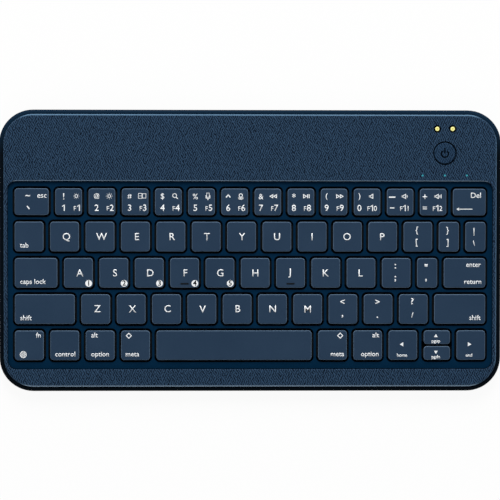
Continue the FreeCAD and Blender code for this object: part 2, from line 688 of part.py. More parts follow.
def make_web():
    body = new_body("web_plate")
    slab(body, "rim", "Places.well_width + 2 * Places.rim_reach", "Places.well_depth + 2 * Places.rim_reach",
         "Sizes.well_corner + Places.rim_reach", "Places.web_bottom", "Places.rim_top", y="Places.well_middle")
    slab(body, "field", "Places.well_width - 2 * Sizes.web_fit", "Places.well_depth - 2 * Sizes.web_fit",
         "Sizes.well_corner - Sizes.web_fit", "Places.web_bottom", "Places.web_top", y="Places.well_middle")
    legs = posts("web_posts", "Sizes.post_radius", "Places.plate_level", "Places.web_bottom")
    standing = join("standing_web", [body, *legs])
    subparts.append(cut_away("key_web", standing, list(openings())))


def stack_slab(body, bottom, top):
    slab(body, "outline", "Places.well_width + 2 * Places.stack_reach",
         "Places.well_depth + 2 * Places.stack_reach", "Sizes.well_corner + Places.stack_reach",
         bottom, top, y="Places.well_middle")


def stack_sheet(name, bottom, top):
    """A sheet of the stack under the keys and the bodies of the holes through it."""
    body = new_body(name)
    stack_slab(body, bottom, top)
    for side in (-1, 1):
        block(body, "Subtractive", f"lug_slot_{side + 1}", "Sizes.lug_thickness + 2 * Sizes.post_slack",
              "Places.lug_width + 2 * Sizes.post_slack", bottom, top,
              f"Places.space_x + {side} * Places.lug_x", "Places.pivot_y")
    holes = posts(f"{name}_holes", "Sizes.post_radius + Sizes.post_slack", bottom, top)
    return body, list(holes)


def make_plate():
    body = new_body("backing_plate")
    stack_slab(body, "Places.floor_level", "Places.plate_level")
    for side in (-1, 1):
        lug_x = f"Places.space_x + {side} * Places.lug_x"
        block(body, "Additive", f"lug_{side + 1}", "Sizes.lug_thickness", "Places.lug_width",
              "Places.floor_level", "Places.pivot_level + Places.lug_width / 2", lug_x, "Places.pivot_y")
        hole = cylinder(body, "Subtractive", f"lug_hole_{side + 1}", "Places.lug_hole",
                        "0", "2 * Sizes.lug_thickness")
        hole.Placement.Rotation = FreeCAD.Rotation(Vector(0, 1, 0), 90)
        place(hole, f"{lug_x} - Sizes.lug_thickness", "Places.pivot_y", "Places.pivot_level")
    subparts.append(body)


def make_membrane():
    film, holes = stack_sheet("film", "Places.plate_level", "Places.film_level")
    subparts.append(cut_away("membrane_circuit", film, holes))


def cones(name, foot, head, bottom, top):
    """A cone at each key, one body for each run of keys."""
    for names, pitch, row, depth, first in key_runs():
        rows = [row]
        if names[0] == ARROW_PAIR:
            rows = [arrow_middle(1), arrow_middle(-1)]
        for number, y in enumerate(rows):
            body = new_body(f"{name}_{names[0]}_{number}")
            shape = cone(body, "Additive", "cone", foot, head, bottom, top, first, y)
            repeat(body, shape, pitch, len(names))
            yield body


def make_dome_sheet():
    sheet, holes = stack_sheet("sheet", "Places.film_level", "Places.sheet_level")
    domes = cones("dome", "Sizes.dome_base", "Sizes.dome_top", "Places.film_level", "Places.dome_level")
    insides = cones("inside", "Sizes.dome_base - Sizes.dome_wall", "Sizes.dome_top - Sizes.dome_wall",
                    "Places.film_level", "Places.dome_level - Sizes.dome_wall")
    domed = join("domed_sheet", [sheet, *domes])
    subparts.append(cut_away("dome_sheet", domed, [*holes, *insides]))


# Keys


def make_key(name, width, depth, x, y):
    body = new_body(name)
    slab(body, "cap", width, depth, "Sizes.cap_corner", "Places.wing_top", "Places.key_top")
    round_edges(body, "cap_edge", "Places.key_top", "Sizes.cap_edge")
    block(body, "Additive", "wings", f"{width} + 2 * (Sizes.key_clearance + Sizes.wing_catch)",
          f"{depth} - 2 * Sizes.cap_corner", "Places.wing_bottom", "Places.wing_top")
    block(body, "Subtractive", "cavity", f"{width} - 2 * Sizes.cap_wall", f"{depth} - 2 * Sizes.cap_wall",
          "Places.wing_bottom", "Places.roof")
    cylinder(body, "Additive", "plunger", "Sizes.plunger_radius", "Places.dome_level", "Places.key_top"
             " - Sizes.cap_roof / 2")
    if name in HOMING:
        block(body, "Additive", "homing_bar", "Sizes.homing_length", "Sizes.homing_width",
              "Places.roof", "Places.key_top + Sizes.homing_rise", y="-Sizes.homing_offset")
    if name == "space_bar":
        add_clips(body)
    place(body, x, y)
    return body


def add_clips(body):
    """Two clips under the space bar, each a pair of walls on either side of the wire."""
    bar_y = "Sizes.stabiliser_arm / 2"
    reach = "(Sizes.stabiliser_radius + Sizes.clip_slack)"
    swing = "(Places.stabiliser_rise * Sizes.key_travel / Sizes.stabiliser_arm)"
    rows = (f"{bar_y} - {reach} - Sizes.clip_wall / 2",
            f"{bar_y} + {reach} + {swing} + Sizes.clip_wall / 2")
    for side in (-1, 1):
        for number, y in enumerate(rows):
            block(body, "Additive", f"clip_{side + 1}_{number}", "Sizes.clip_length", "Sizes.clip_wall",
                  "Places.bar_level - Sizes.stabiliser_radius", "Places.key_top - Sizes.cap_roof / 2",
                  f"{side} * Sizes.clip_spacing / 2", y)


def make_keys():
    bodies = {name: make_key(name, *rest) for name, *rest in key_spots()}
    for name, members in KEY_GROUPS.items():
        group(name, [bodies.pop(member) for member in members])
    for name, body in bodies.items():
        body.Label = name if name == "space_bar" else f"{name}_key"
        subparts.append(body)


def make_stabiliser():
    """A wire that keeps the long key level: a bar in the key's clips, two arms and two feet in the plate's lugs."""
    half, foot = value("Sizes.stabiliser_length") / 2, value("Sizes.stabiliser_foot")
    middle, pivot_y = value("Places.space_x"), value("Places.pivot_y")
    bar_y = pivot_y + value("Sizes.stabiliser_arm")
    low, high = value("Places.pivot_level"), value("Places.bar_level")
    points = [Vector(middle - half - foot, pivot_y, low), Vector(middle - half, pivot_y, low),
              Vector(middle - half, bar_y, high), Vector(middle + half, bar_y, high),
              Vector(middle + half, pivot_y, low), Vector(middle + half + foot, pivot_y, low)]
    wire = doc.addObject("Part::Feature", "space_bar_stabiliser")
    wire.Shape = round_rod(bent_path(points, value("Sizes.stabiliser_bend")), value("Sizes.stabiliser_radius"))
    subparts.append(wire)


# Sub-parts of the electronics


def make_battery():
    body = new_body("battery")
    slab(body, "pouch", "Sizes.battery_length", "Places.battery_width", "Sizes.battery_corner",
         "Places.floor_level", "Places.battery_top", "Places.battery_x", "Places.battery_y")
    round_edges(body, "pouch_edge", "Places.battery_top", "Sizes.battery_edge")
    subparts.append(body)


def chip(name, length, width, height, x, y):
    box = doc.addObject("Part::Box", name)
    bind(box, Length=length, Width=width, Height=height)
    place(box, f"{x} - ({length}) / 2", f"{y} - ({width}) / 2", "Places.board_top")
    return box


def make_board():
    body = new_body("board")
    block(body, "Additive", "panel", "Places.board_length", "Places.board_width", "Places.board_bottom",
          "Places.board_top", "(Places.board_left + Places.board_right) / 2",
          "(Places.board_front + Places.bay_back) / 2")
    block(body, "Subtractive", "notch", "Sizes.board_notch", "Sizes.board_step", "Places.board_bottom",
          "Places.board_top", "Places.socket_x", "Places.board_front + Sizes.board_step / 2")
    parts = [body]
    parts.append(chip("controller", "Sizes.chip_side", "Sizes.chip_side", "Sizes.chip_height",
                      "Places.socket_x", "Places.bay_back - Sizes.chip_side"))
    parts.append(chip("tail_socket", "Places.tail_width + 2 * Sizes.seat_gap", "Sizes.socket_depth",
                      "Sizes.socket_height", "Places.socket_x", "Places.socket_front + Sizes.socket_depth / 2"))
    for step in (-1, 0, 1):
        parts.append(chip(f"light_{step + 1}", "Sizes.light_chip", "Sizes.light_chip", "Sizes.light_height",
                          f"Places.button_x + {step} * Sizes.light_spacing", "Places.light_y"))
    group("circuit_board", parts)


def make_switch():
    body = new_body("power_switch")
    block(body, "Additive", "case", "Sizes.switch_side", "Sizes.switch_side", "Places.board_top",
          "Places.board_top + Places.switch_height", "Places.button_x", "Places.button_y")
    cylinder(body, "Subtractive", "plunger_well", "Sizes.stem_radius + Sizes.stem_slack",
             "Places.board_top + Sizes.switch_seat", "Places.board_top + Places.switch_height",
             "Places.button_x", "Places.button_y")
    subparts.append(body)


def make_button():
    body = new_body("power_button")
    flange_top = "Places.deck_bottom - Sizes.button_play"
    stem_bottom = "Places.board_top + Sizes.switch_seat + Sizes.button_travel"
    cylinder(body, "Additive", "head", "Sizes.button_radius", flange_top, "Places.surface - Sizes.button_drop")
    cylinder(body, "Additive", "flange", "Sizes.button_radius + Sizes.button_slit + Sizes.button_flange",
             f"{flange_top} - Sizes.button_rim", flange_top)
    cylinder(body, "Additive", "stem", "Sizes.stem_radius", stem_bottom, flange_top)
    round_edges(body, "head_edge", "Places.surface - Sizes.button_drop", "Sizes.cap_edge")
    place(body, "Places.button_x", "Places.button_y")
    subparts.append(body)


def make_contacts():
    bodies = []
    for side in (-1, 1):
        body = new_body(f"contact_{side + 1}")
        cylinder(body, "Additive", "head", "Sizes.contact_radius", "Places.flange_top", "Places.part_top")
        cylinder(body, "Additive", "flange", "Sizes.contact_radius + Sizes.contact_flange",
                 "Places.flange_bottom", "Places.flange_top")
        cylinder(body, "Additive", "pin", "Sizes.contact_pin", "Places.board_top", "Places.flange_bottom")
        round_edges(body, "head_edge", "Places.part_top", "Sizes.cap_edge")
        place(body, f"Places.button_x + {side} * Sizes.contact_spacing / 2", "Places.contact_y")
        bodies.append(body)
    group("charging_contacts", bodies)


def make_lights():
    bodies = []
    for step in (-1, 0, 1):
        body = new_body(f"light_pipe_{step + 1}")
        cylinder(body, "Additive", "pipe", "Sizes.light_radius", "Places.light_top + Sizes.seat_gap",
                 "Places.part_top")
        cylinder(body, "Additive", "flange", "Sizes.light_radius + Sizes.light_flange",
                 "Places.flange_bottom", "Places.flange_top")
        place(body, f"Places.button_x + {step} * Sizes.light_spacing", "Places.light_y")
        bodies.append(body)
    group("indicator_lights", bodies)


def make_tail():
    """A flat tail that leaves the membrane's back edge, climbs and enters the socket on the board."""
    thick, width = value("Sizes.tail_thickness"), value("Places.tail_width")
    start, end = value("Places.well_back + Places.stack_reach"), value("Places.socket_front")
    low, high = value("Places.plate_level"), value("Places.board_top + Sizes.socket_height / 3")
    flat = (end - start) / 5
    line = [(start, low), (start + flat, low), (end - flat, high), (end, high)]
    outline = line + [(y, z + thick) for y, z in reversed(line)]
    corners = [Vector(0, y, z) for y, z in outline]
    tail = doc.addObject("Part::Feature", "membrane_tail")
    tail.Shape = Part.Face(Part.makePolygon([*corners, corners[0]])).extrude(Vector(width, 0, 0))
    tail.Placement.Base = Vector(value("Places.socket_x") - width / 2, 0, 0)
    subparts.append(tail)


def make_leads():
    """Two leads from the battery's end to the board, held flat between the tray and the deck."""
    start_x = value("Places.battery_x") + value("Sizes.battery_length") / 2
    end_x = value("Places.board_left") + value("Sizes.lead_overlap")
    low = (value("Places.floor_level") + value("Places.battery_top")) / 2
    high = value("Places.board_top") + value("Sizes.lead_radius")
    third = (value("Places.board_left") - start_x) / 3
    rods = []
    for side in (-1, 1):
        y = value("Places.battery_y") + side * value("Sizes.lead_spacing") / 2
        points = [Vector(start_x, y, low), Vector(start_x + third, y, low),
                  Vector(start_x + 2 * third, y, high), Vector(end_x, y, high)]
        rods.append(round_rod(bent_path(points, value("Sizes.lead_bend")), value("Sizes.lead_radius")))
    leads = doc.addObject("Part::Feature", "battery_leads")
    leads.Shape = Part.makeCompound(rods)
    subparts.append(leads)


# Fasteners and magnets


def make_screws():
    bodies = []
    head_top = "Sizes.base_cover + Sizes.head_height"
    for number, (x, y) in enumerate(boss_spots()):
        body = new_body(f"screw_{number}")
        cylinder(body, "Additive", "head", "Sizes.head_radius", "Sizes.base_cover", head_top)
        cylinder(body, "Additive", "shank", "Sizes.screw_radius", head_top, f"{head_top} + Sizes.screw_length")
        for turn, (length, width) in enumerate((("Sizes.head_radius", "Sizes.head_slot"),
                                                ("Sizes.head_slot", "Sizes.head_radius"))):
            block(body, "Subtractive", f"slot_{turn}", length, width, "Sizes.base_cover",
                  "Sizes.base_cover + Sizes.head_height / 2")
        place(body, x, y)
        bodies.append(body)
    group("case_screws", bodies)


def make_magnets():
    boxes = []
    for side in (-1, 1):
        for end in (-1, 1):
            box = doc.addObject("Part::Box", f"magnet_{side + 1}_{end + 1}")
            bind(box, Length="Sizes.magnet_length", Width="Sizes.magnet_width", Height="Sizes.magnet_height")
            place(box, f"{side} * Places.boss_middle - Sizes.magnet_length / 2",
                  f"{end} * Places.boss_y - Sizes.magnet_width / 2", "Places.floor_level")
            boxes.append(box)
    group("case_magnets", boxes)


def check_and_write():
    doc.recompute()
    for item in doc.Objects:
        if "Invalid" in item.State or "Error" in item.State:
            raise RuntimeError(f"{item.Label} failed: {item.State}")
    os.makedirs("parts", exist_ok=True)
    for item in subparts:
        shape = item.Shape
        if shape.isNull() or not shape.isValid() or not shape.Solids:
            raise RuntimeError(f"{item.Label} has no valid shape")
        shape.exportStep(f"parts/{item.Label}.step")
        print(f"{item.Label}: {len(shape.Solids)} solids, {shape.Volume:.1f} mm3")
    print(f"{len(subparts)} sub-parts")


make_base_cover()
make_tray()
make_frame()
make_leather()
make_web()
make_plate()
make_membrane()
make_dome_sheet()
make_keys()
make_stabiliser()
make_battery()
make_board()
make_switch()
make_button()
make_contacts()
make_lights()
make_tail()
make_leads()
make_screws()
make_magnets()
check_and_write()
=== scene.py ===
import json
import math

import bmesh
import bpy
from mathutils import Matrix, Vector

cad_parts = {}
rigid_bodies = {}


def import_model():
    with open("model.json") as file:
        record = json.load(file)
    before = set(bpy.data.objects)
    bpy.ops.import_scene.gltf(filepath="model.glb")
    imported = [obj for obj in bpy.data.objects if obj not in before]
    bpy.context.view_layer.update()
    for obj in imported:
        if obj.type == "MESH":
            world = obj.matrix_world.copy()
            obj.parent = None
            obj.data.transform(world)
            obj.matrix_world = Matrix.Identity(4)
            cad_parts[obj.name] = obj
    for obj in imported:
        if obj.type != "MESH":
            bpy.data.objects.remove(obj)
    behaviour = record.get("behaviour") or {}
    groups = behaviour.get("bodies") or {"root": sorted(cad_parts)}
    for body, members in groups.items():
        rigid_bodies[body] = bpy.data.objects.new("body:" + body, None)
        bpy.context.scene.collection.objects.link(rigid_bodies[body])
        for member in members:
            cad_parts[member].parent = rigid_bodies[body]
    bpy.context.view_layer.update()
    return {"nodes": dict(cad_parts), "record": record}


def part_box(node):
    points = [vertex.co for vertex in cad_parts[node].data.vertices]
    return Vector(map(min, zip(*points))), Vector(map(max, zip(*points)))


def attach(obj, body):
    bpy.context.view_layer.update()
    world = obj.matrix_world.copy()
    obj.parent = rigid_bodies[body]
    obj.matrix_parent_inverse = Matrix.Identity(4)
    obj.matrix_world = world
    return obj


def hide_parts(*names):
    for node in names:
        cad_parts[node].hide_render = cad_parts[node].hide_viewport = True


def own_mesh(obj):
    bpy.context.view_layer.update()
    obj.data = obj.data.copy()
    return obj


for leftOver in list(bpy.data.objects):  # the start-up cube, lamp and camera
    bpy.data.objects.remove(leftOver)

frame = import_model()
mm = 0.001
mmPerMetre = 1000  # over a pattern's size in mm, this is its texture scale
hair = 1e-5  # metres: places closer than this are on one level
softAngle = 35  # degrees: faces that meet at less are shaded as one
downward = -0.9  # a face whose normal is lower than this in z is an underside
print("frame loaded:", len(frame["nodes"]), "nodes")


# hands on the mesh

def clearSelection():
    if bpy.context.mode != "OBJECT":
        bpy.ops.object.mode_set(mode="OBJECT")
    bpy.ops.object.select_all(action="DESELECT")


def selectOnly(*pieces):
    clearSelection()
    for piece in pieces:
        piece.select_set(True)
    bpy.context.view_layer.objects.active = pieces[0]


def pick(piece, kind, wanted):
    # selects the edges or the faces that are wanted, in edit mode
    bpy.ops.mesh.select_mode(type={"edges": "EDGE", "faces": "FACE"}[kind])
    bpy.ops.mesh.select_all(action="DESELECT")
    mesh = bmesh.from_edit_mesh(piece.data)
    for part in getattr(mesh, kind):
        if wanted(part):
            part.select_set(True)
    bmesh.update_edit_mesh(piece.data)


def applyModifier(piece, kind, **settings):
    selectOnly(piece)
    modifier = piece.modifiers.new(kind.lower(), kind)
    for name, setting in settings.items():
        setattr(modifier, name, setting)
    bpy.ops.object.modifier_apply(modifier=modifier.name)


def joinPieces(name, pieces):
    selectOnly(*pieces)
    if len(pieces) > 1:
        bpy.ops.object.join()
    joined = bpy.context.object
    joined.name = name
    bpy.ops.object.transform_apply(location=True, rotation=True, scale=True)
    return joined


def smoothEdges(piece):
    selectOnly(piece)
    bpy.ops.object.shade_smooth_by_angle(angle=math.radians(softAngle))
    applyModifier(piece, "WEIGHTED_NORMAL", keep_sharp=True)


def roundedBlock(name, low, high, corner, steps):
    # a slab with round upright corners, left in edit mode
    clearSelection()
    middle = [(a + b) / 2 for a, b in zip(low, high)]
    bpy.ops.mesh.primitive_cube_add(size=1, location=middle)
    block = bpy.context.object
    block.name = name
    block.scale = [b - a for a, b in zip(low, high)]
    bpy.ops.object.transform_apply(location=True, rotation=True, scale=True)
    bpy.ops.object.mode_set(mode="EDIT")
    tall = 0.5 * (high[2] - low[2])  # only the upright edges rise by more
    pick(block, "edges", lambda edge: abs(edge.verts[0].co.z - edge.verts[1].co.z) > tall)
    bpy.ops.mesh.bevel(offset=corner, segments=steps, affect="EDGES")
    return block


# hands on the materials

def linearColour(code):
    channels = [int(code[place:place + 2], 16) / 255 for place in (0, 2, 4)]
    return [c / 12.92 if c <= 0.04045 else ((c + 0.055) / 1.055) ** 2.4 for c in channels] + [1.0]


# sockets go by number where names repeat: Mix has 2 and 3 for values, 6 and 7 for colours,
# and Map Range reads from 1 to 2 and gives from 3 to 4
def addNode(tree, kind, links=None, **settings):
    node = tree.nodes.new(kind)
    for name, setting in settings.items():
        setattr(node, name, setting)
    for socket, source in (links or {}).items():
        if isinstance(source, bpy.types.NodeSocket):
            tree.links.new(source, node.inputs[socket])
        else:
            node.inputs[socket].default_value = source
    return node


def newMaterial(name):
    material = bpy.data.materials.new(name)
    material.use_nodes = True
    material.node_tree.nodes.clear()
    return material, material.node_tree


def dressNode(name, material):
    for slot in frame["nodes"][name].material_slots:
        slot.material = material


# embossed leathercloth: a polyurethane skin on a woven back, rolled with a wrinkled grain. The eye sees short
# slanting wrinkles that turn from patch to patch, crevices darkened partly by the grain's own tone and partly by
# painted shade, a low sheen, and a painted highlight on the turned edges: brightest along the back and front, less
# at the right, hardly at the left.
# A finer grain would not show, so it is drawn a millimetre from wrinkle to wrinkle.
waveLength = math.pi / 10  # of the wave texture at scale 1
leatherBands = {
    "patch": {1: 0.45, 2: 0.55},  # noise over which one slant gives way to the other
    "relief": {1: 0.15, 2: 0.85},  # wave heights taken as crevice and as top
    "crest": {1: 0.985, 2: 0.85}, "upright": {1: 0.05, 2: 0.4},  # upward lean where the painted edge highlight begins and ends
    "facing": {1: 0.88, 2: 0.985},  # how squarely an edge with the painted highlight looks to its side
}


def grainedLeather(settings):
    material, tree = newMaterial(settings["name"])
    place = addNode(tree, "ShaderNodeTexCoord").outputs["Object"]
    wrinkles = []
    for slant in settings["slants"]:
        turned = addNode(tree, "ShaderNodeMapping", {
            "Vector": place, "Rotation": (0, 0, math.radians(slant)),
            "Scale": [settings["pitch"] * mm / waveLength] * 3}, vector_type="TEXTURE").outputs[0]
        wrinkles.append(addNode(tree, "ShaderNodeTexWave", {
            "Vector": turned, "Scale": 1.0, "Distortion": settings["sway"], "Detail": 1.0,
            "Detail Scale": settings["broken"], "Detail Roughness": 0.5}).outputs["Fac"])
    patches = addNode(tree, "ShaderNodeTexNoise", {
        "Vector": place, "Scale": mmPerMetre / settings["patch"], "Detail": 1.0}).outputs["Fac"]
    choice = addNode(tree, "ShaderNodeMapRange", {"Value": patches, **leatherBands["patch"]}).outputs[0]
    grain = addNode(tree, "ShaderNodeMix", {"Factor": choice, 2: wrinkles[0], 3: wrinkles[1]}).outputs[0]
    pores = addNode(tree, "ShaderNodeTexNoise", {
        "Vector": place, "Scale": mmPerMetre / settings["pore"], "Detail": 0.0}).outputs["Fac"]
    mixed = addNode(tree, "ShaderNodeMix", {"Factor": settings["porous"], 2: grain, 3: pores}).outputs[0]
    relief = addNode(tree, "ShaderNodeMapRange", {"Value": mixed, **leatherBands["relief"]}).outputs[0]
    # the crevices run to near black: partly the grain's own tone, partly painted shade
    skin = addNode(tree, "ShaderNodeMix", {
        "Factor": relief, 6: linearColour(settings["crevice"]), 7: linearColour(settings["top"])},
        data_type="RGBA").outputs[2]
    normal = addNode(tree, "ShaderNodeNewGeometry").outputs["Normal"]
    lean = addNode(tree, "ShaderNodeSeparateXYZ", {0: normal}).outputs["Z"]
    crest = addNode(tree, "ShaderNodeMapRange", {"Value": lean, **leatherBands["crest"]}).outputs[0]
    upright = addNode(tree, "ShaderNodeMapRange", {"Value": lean, **leatherBands["upright"]}).outputs[0]
    turnedOver = addNode(tree, "ShaderNodeMath", {0: crest, 1: upright}, operation="MULTIPLY").outputs[0]
    level = addNode(tree, "ShaderNodeVectorMath", {
        0: normal, 1: (1.0, 1.0, 0.0)}, operation="MULTIPLY").outputs[0]
    outward = addNode(tree, "ShaderNodeVectorMath", {0: level}, operation="NORMALIZE").outputs[0]
    facing = addNode(tree, "ShaderNodeSeparateXYZ", {0: outward}).outputs
    across = addNode(tree, "ShaderNodeMath", {0: facing["Y"]}, operation="ABSOLUTE").outputs[0]
    longSides = addNode(tree, "ShaderNodeMapRange", {
        "Value": across, **leatherBands["facing"], 3: settings["leftWear"], 4: settings["wear"]}).outputs[0]
    rightSide = addNode(tree, "ShaderNodeMapRange", {
        "Value": facing["X"], **leatherBands["facing"], 4: settings["rightWear"]}).outputs[0]
    sideHighlight = addNode(tree, "ShaderNodeMath", {0: longSides, 1: rightSide}, operation="MAXIMUM").outputs[0]
    edgeHighlight = addNode(tree, "ShaderNodeMath", {0: turnedOver, 1: sideHighlight}, operation="MULTIPLY").outputs[0]
    # painted highlight: the rolled edges turn paler, most at the back and front, less at the right, hardly at the
    # left
    colour = addNode(tree, "ShaderNodeMix", {
        "Factor": edgeHighlight, 6: skin, 7: linearColour(settings["edge"])}, data_type="RGBA").outputs[2]
    sheen = addNode(tree, "ShaderNodeMapRange", {
        "Value": relief, 3: settings["matt"], 4: settings["satin"]}).outputs[0]
    bump = addNode(tree, "ShaderNodeBump", {
        "Height": relief, "Strength": settings["bump"], "Distance": settings["depth"] * mm}).outputs[0]
    shader = addNode(tree, "ShaderNodeBsdfPrincipled", {
        "Base Color": colour, "Roughness": sheen, "Normal": bump,
        "IOR": 1.5, "Specular IOR Level": settings["gleam"]})
    addNode(tree, "ShaderNodeOutputMaterial", {"Surface": shader.outputs[0]})
    return material


toneBand = {1: 0.3, 2: 0.7}  # noise taken as the darker and as the lighter tone
gritDepth = 0.1  # of the bump, as a share of the grit's size


def twoTones(tree, place, settings, cloudSize):
    # a dark and a light tone, mixed by a fine grit and wide clouds
    grit = addNode(tree, "ShaderNodeTexNoise", {
        "Vector": place, "Scale": mmPerMetre / settings["grit"], "Detail": 2.0}).outputs["Fac"]
    cloud = addNode(tree, "ShaderNodeTexNoise", {
        "Vector": place, "Scale": mmPerMetre / cloudSize, "Detail": 2.0}).outputs["Fac"]
    tone = addNode(tree, "ShaderNodeMix", {"Factor": 0.5, 2: grit, 3: cloud}).outputs[0]
    spread = addNode(tree, "ShaderNodeMapRange", {"Value": tone, **toneBand}).outputs[0]
    colour = addNode(tree, "ShaderNodeMix", {
        "Factor": spread, 6: linearColour(settings["dark"]), 7: linearColour(settings["light"])},
        data_type="RGBA").outputs[2]
    return grit, spread, colour


def unevenGloss(tree, settings, colour, grit, spread):
    # roughness follows the tones, and the grit stands up a little
    matt, satin = settings["rough"]
    gloss = addNode(tree, "ShaderNodeMapRange", {"Value": spread, 3: matt, 4: satin}).outputs[0]
    bump = addNode(tree, "ShaderNodeBump", {
        "Height": grit, "Strength": settings["bump"],
        "Distance": settings["grit"] * gritDepth * mm}).outputs[0]
    shader = addNode(tree, "ShaderNodeBsdfPrincipled", {
        "Base Color": colour, "Roughness": gloss, "Normal": bump, "Metallic": settings.get("metal", 0.0),
        "Specular IOR Level": settings.get("gleam", 0.5), "Transmission Weight": settings.get("clear", 0.0)})
    addNode(tree, "ShaderNodeOutputMaterial", {"Surface": shader.outputs[0]})


# any plain moulded, rolled, plated or printed finish: two close tones, a fine grit and an uneven gloss.
# Real grit is finer than these sizes in mm, and is drawn as coarse as it needs to show.
cloudShare = 30  # grits to a cloud
uprightBand = {1: 0.7, 2: 0.3}  # upward lean from which a face counts as upright
deeperMiddleShare = (0.2, 0.6)  # where the deeper yellow middle starts to fade and has gone, as shares of the plate's radius


def evenFinish(settings):
    material, tree = newMaterial(settings["name"])
    place = addNode(tree, "ShaderNodeTexCoord").outputs["Object"]
    drawn = addNode(tree, "ShaderNodeMapping", {
        "Vector": place, "Scale": settings.get("drawn", (1.0, 1.0, 1.0))}).outputs[0]
    grit, spread, colour = twoTones(tree, drawn, settings, settings["grit"] * cloudShare)
    if "back" in settings:  # painted light: another tone from one line to another, in mm towards the back
        tint, start, end = settings["back"]
        depth = addNode(tree, "ShaderNodeSeparateXYZ", {0: place}).outputs["Y"]
        behind = addNode(tree, "ShaderNodeMapRange", {"Value": depth, 1: start * mm, 2: end * mm}).outputs[0]
        colour = addNode(tree, "ShaderNodeMix", {
            "Factor": behind, 6: colour, 7: linearColour(tint)}, data_type="RGBA").outputs[2]
    if "side" in settings:  # painted shade: upright faces in a darker tone
        normal = addNode(tree, "ShaderNodeNewGeometry").outputs["Normal"]
        lean = addNode(tree, "ShaderNodeSeparateXYZ", {0: normal}).outputs["Z"]
        upright = addNode(tree, "ShaderNodeMapRange", {"Value": lean, **uprightBand}).outputs[0]
        colour = addNode(tree, "ShaderNodeMix", {
            "Factor": upright, 6: colour, 7: linearColour(settings["side"])}, data_type="RGBA").outputs[2]
    if "sealed" in settings:  # two discs a step either side of a middle: a deeper yellow middle, the plate's pale painted highlight, and a black ring of painted shade outside
        plate = settings["plate"] * mm
        inner, outer = [share * plate for share in deeperMiddleShare]
        offset = addNode(tree, "ShaderNodeVectorMath", {
            0: place, 1: [c * mm for c in settings["middle"]]}, operation="SUBTRACT").outputs[0]
        mirrored = addNode(tree, "ShaderNodeVectorMath", {0: offset}, operation="ABSOLUTE").outputs[0]
        reach = addNode(tree, "ShaderNodeVectorMath", {
            0: mirrored, 1: (settings["step"] * mm, 0.0, 0.0)}, operation="DISTANCE").outputs["Value"]
        flat = addNode(tree, "ShaderNodeMapRange", {"Value": reach, 1: inner, 2: outer}).outputs[0]
        colour = addNode(tree, "ShaderNodeMix", {
            "Factor": flat, 6: linearColour(settings["dimple"]), 7: colour}, data_type="RGBA").outputs[2]
        outside = addNode(tree, "ShaderNodeMath", {0: reach, 1: plate}, operation="GREATER_THAN").outputs[0]
        colour = addNode(tree, "ShaderNodeMix", {
            "Factor": outside, 6: colour, 7: linearColour(settings["sealed"])}, data_type="RGBA").outputs[2]
    unevenGloss(tree, settings, colour, grit, spread)
    return material


# black moulded caps under a soft-touch lacquer: very even matt tops, a painted highlight along the rounded edges,
# painted shade on the skirts down in the slits, and painted shade on the two homing bars
capBands = {"edge": {1: 0.96, 2: 0.75}, "side": {1: 0.1, 2: 0.35}}  # upward lean where the painted edge highlight begins and ends


def capPlastic(settings):
    material, tree = newMaterial(settings["name"])
    place = addNode(tree, "ShaderNodeTexCoord").outputs["Object"]
    grit, spread, matt = twoTones(tree, place, settings, settings["cloud"])
    normal = addNode(tree, "ShaderNodeNewGeometry").outputs["Normal"]
    lean = addNode(tree, "ShaderNodeSeparateXYZ", {0: normal}).outputs["Z"]
    edge = addNode(tree, "ShaderNodeMapRange", {"Value": lean, **capBands["edge"]}).outputs[0]
    side = addNode(tree, "ShaderNodeMapRange", {"Value": lean, **capBands["side"]}).outputs[0]
    edgeHighlight = addNode(tree, "ShaderNodeMath", {0: edge, 1: side}, operation="MULTIPLY").outputs[0]
    edgeLit = addNode(tree, "ShaderNodeMix", {
        "Factor": edgeHighlight, 6: matt, 7: linearColour(settings["edge"])}, data_type="RGBA").outputs[2]
    # painted shade: the skirts below the skirt band, down in the slits, go near black
    height = addNode(tree, "ShaderNodeSeparateXYZ", {0: place}).outputs["Z"]
    low, high = settings["skirt"]
    outOfSlitShade = addNode(tree, "ShaderNodeMapRange", {"Value": height, 1: low * mm, 2: high * mm}).outputs[0]
    skirtShaded = addNode(tree, "ShaderNodeMix", {
        "Factor": outOfSlitShade, 6: linearColour(settings["bare"]), 7: edgeLit}, data_type="RGBA").outputs[2]
    # painted shade: the homing bars, above the bar level, go near black
    onBar = addNode(tree, "ShaderNodeMath", {
        0: height, 1: settings["barLevel"] * mm}, operation="GREATER_THAN").outputs[0]
    colour = addNode(tree, "ShaderNodeMix", {
        "Factor": onBar, 6: skirtShaded, 7: linearColour(settings["bare"])}, data_type="RGBA").outputs[2]
    unevenGloss(tree, settings, colour, grit, spread)
    return material


# CAD nodes that stay, by the record's material slots

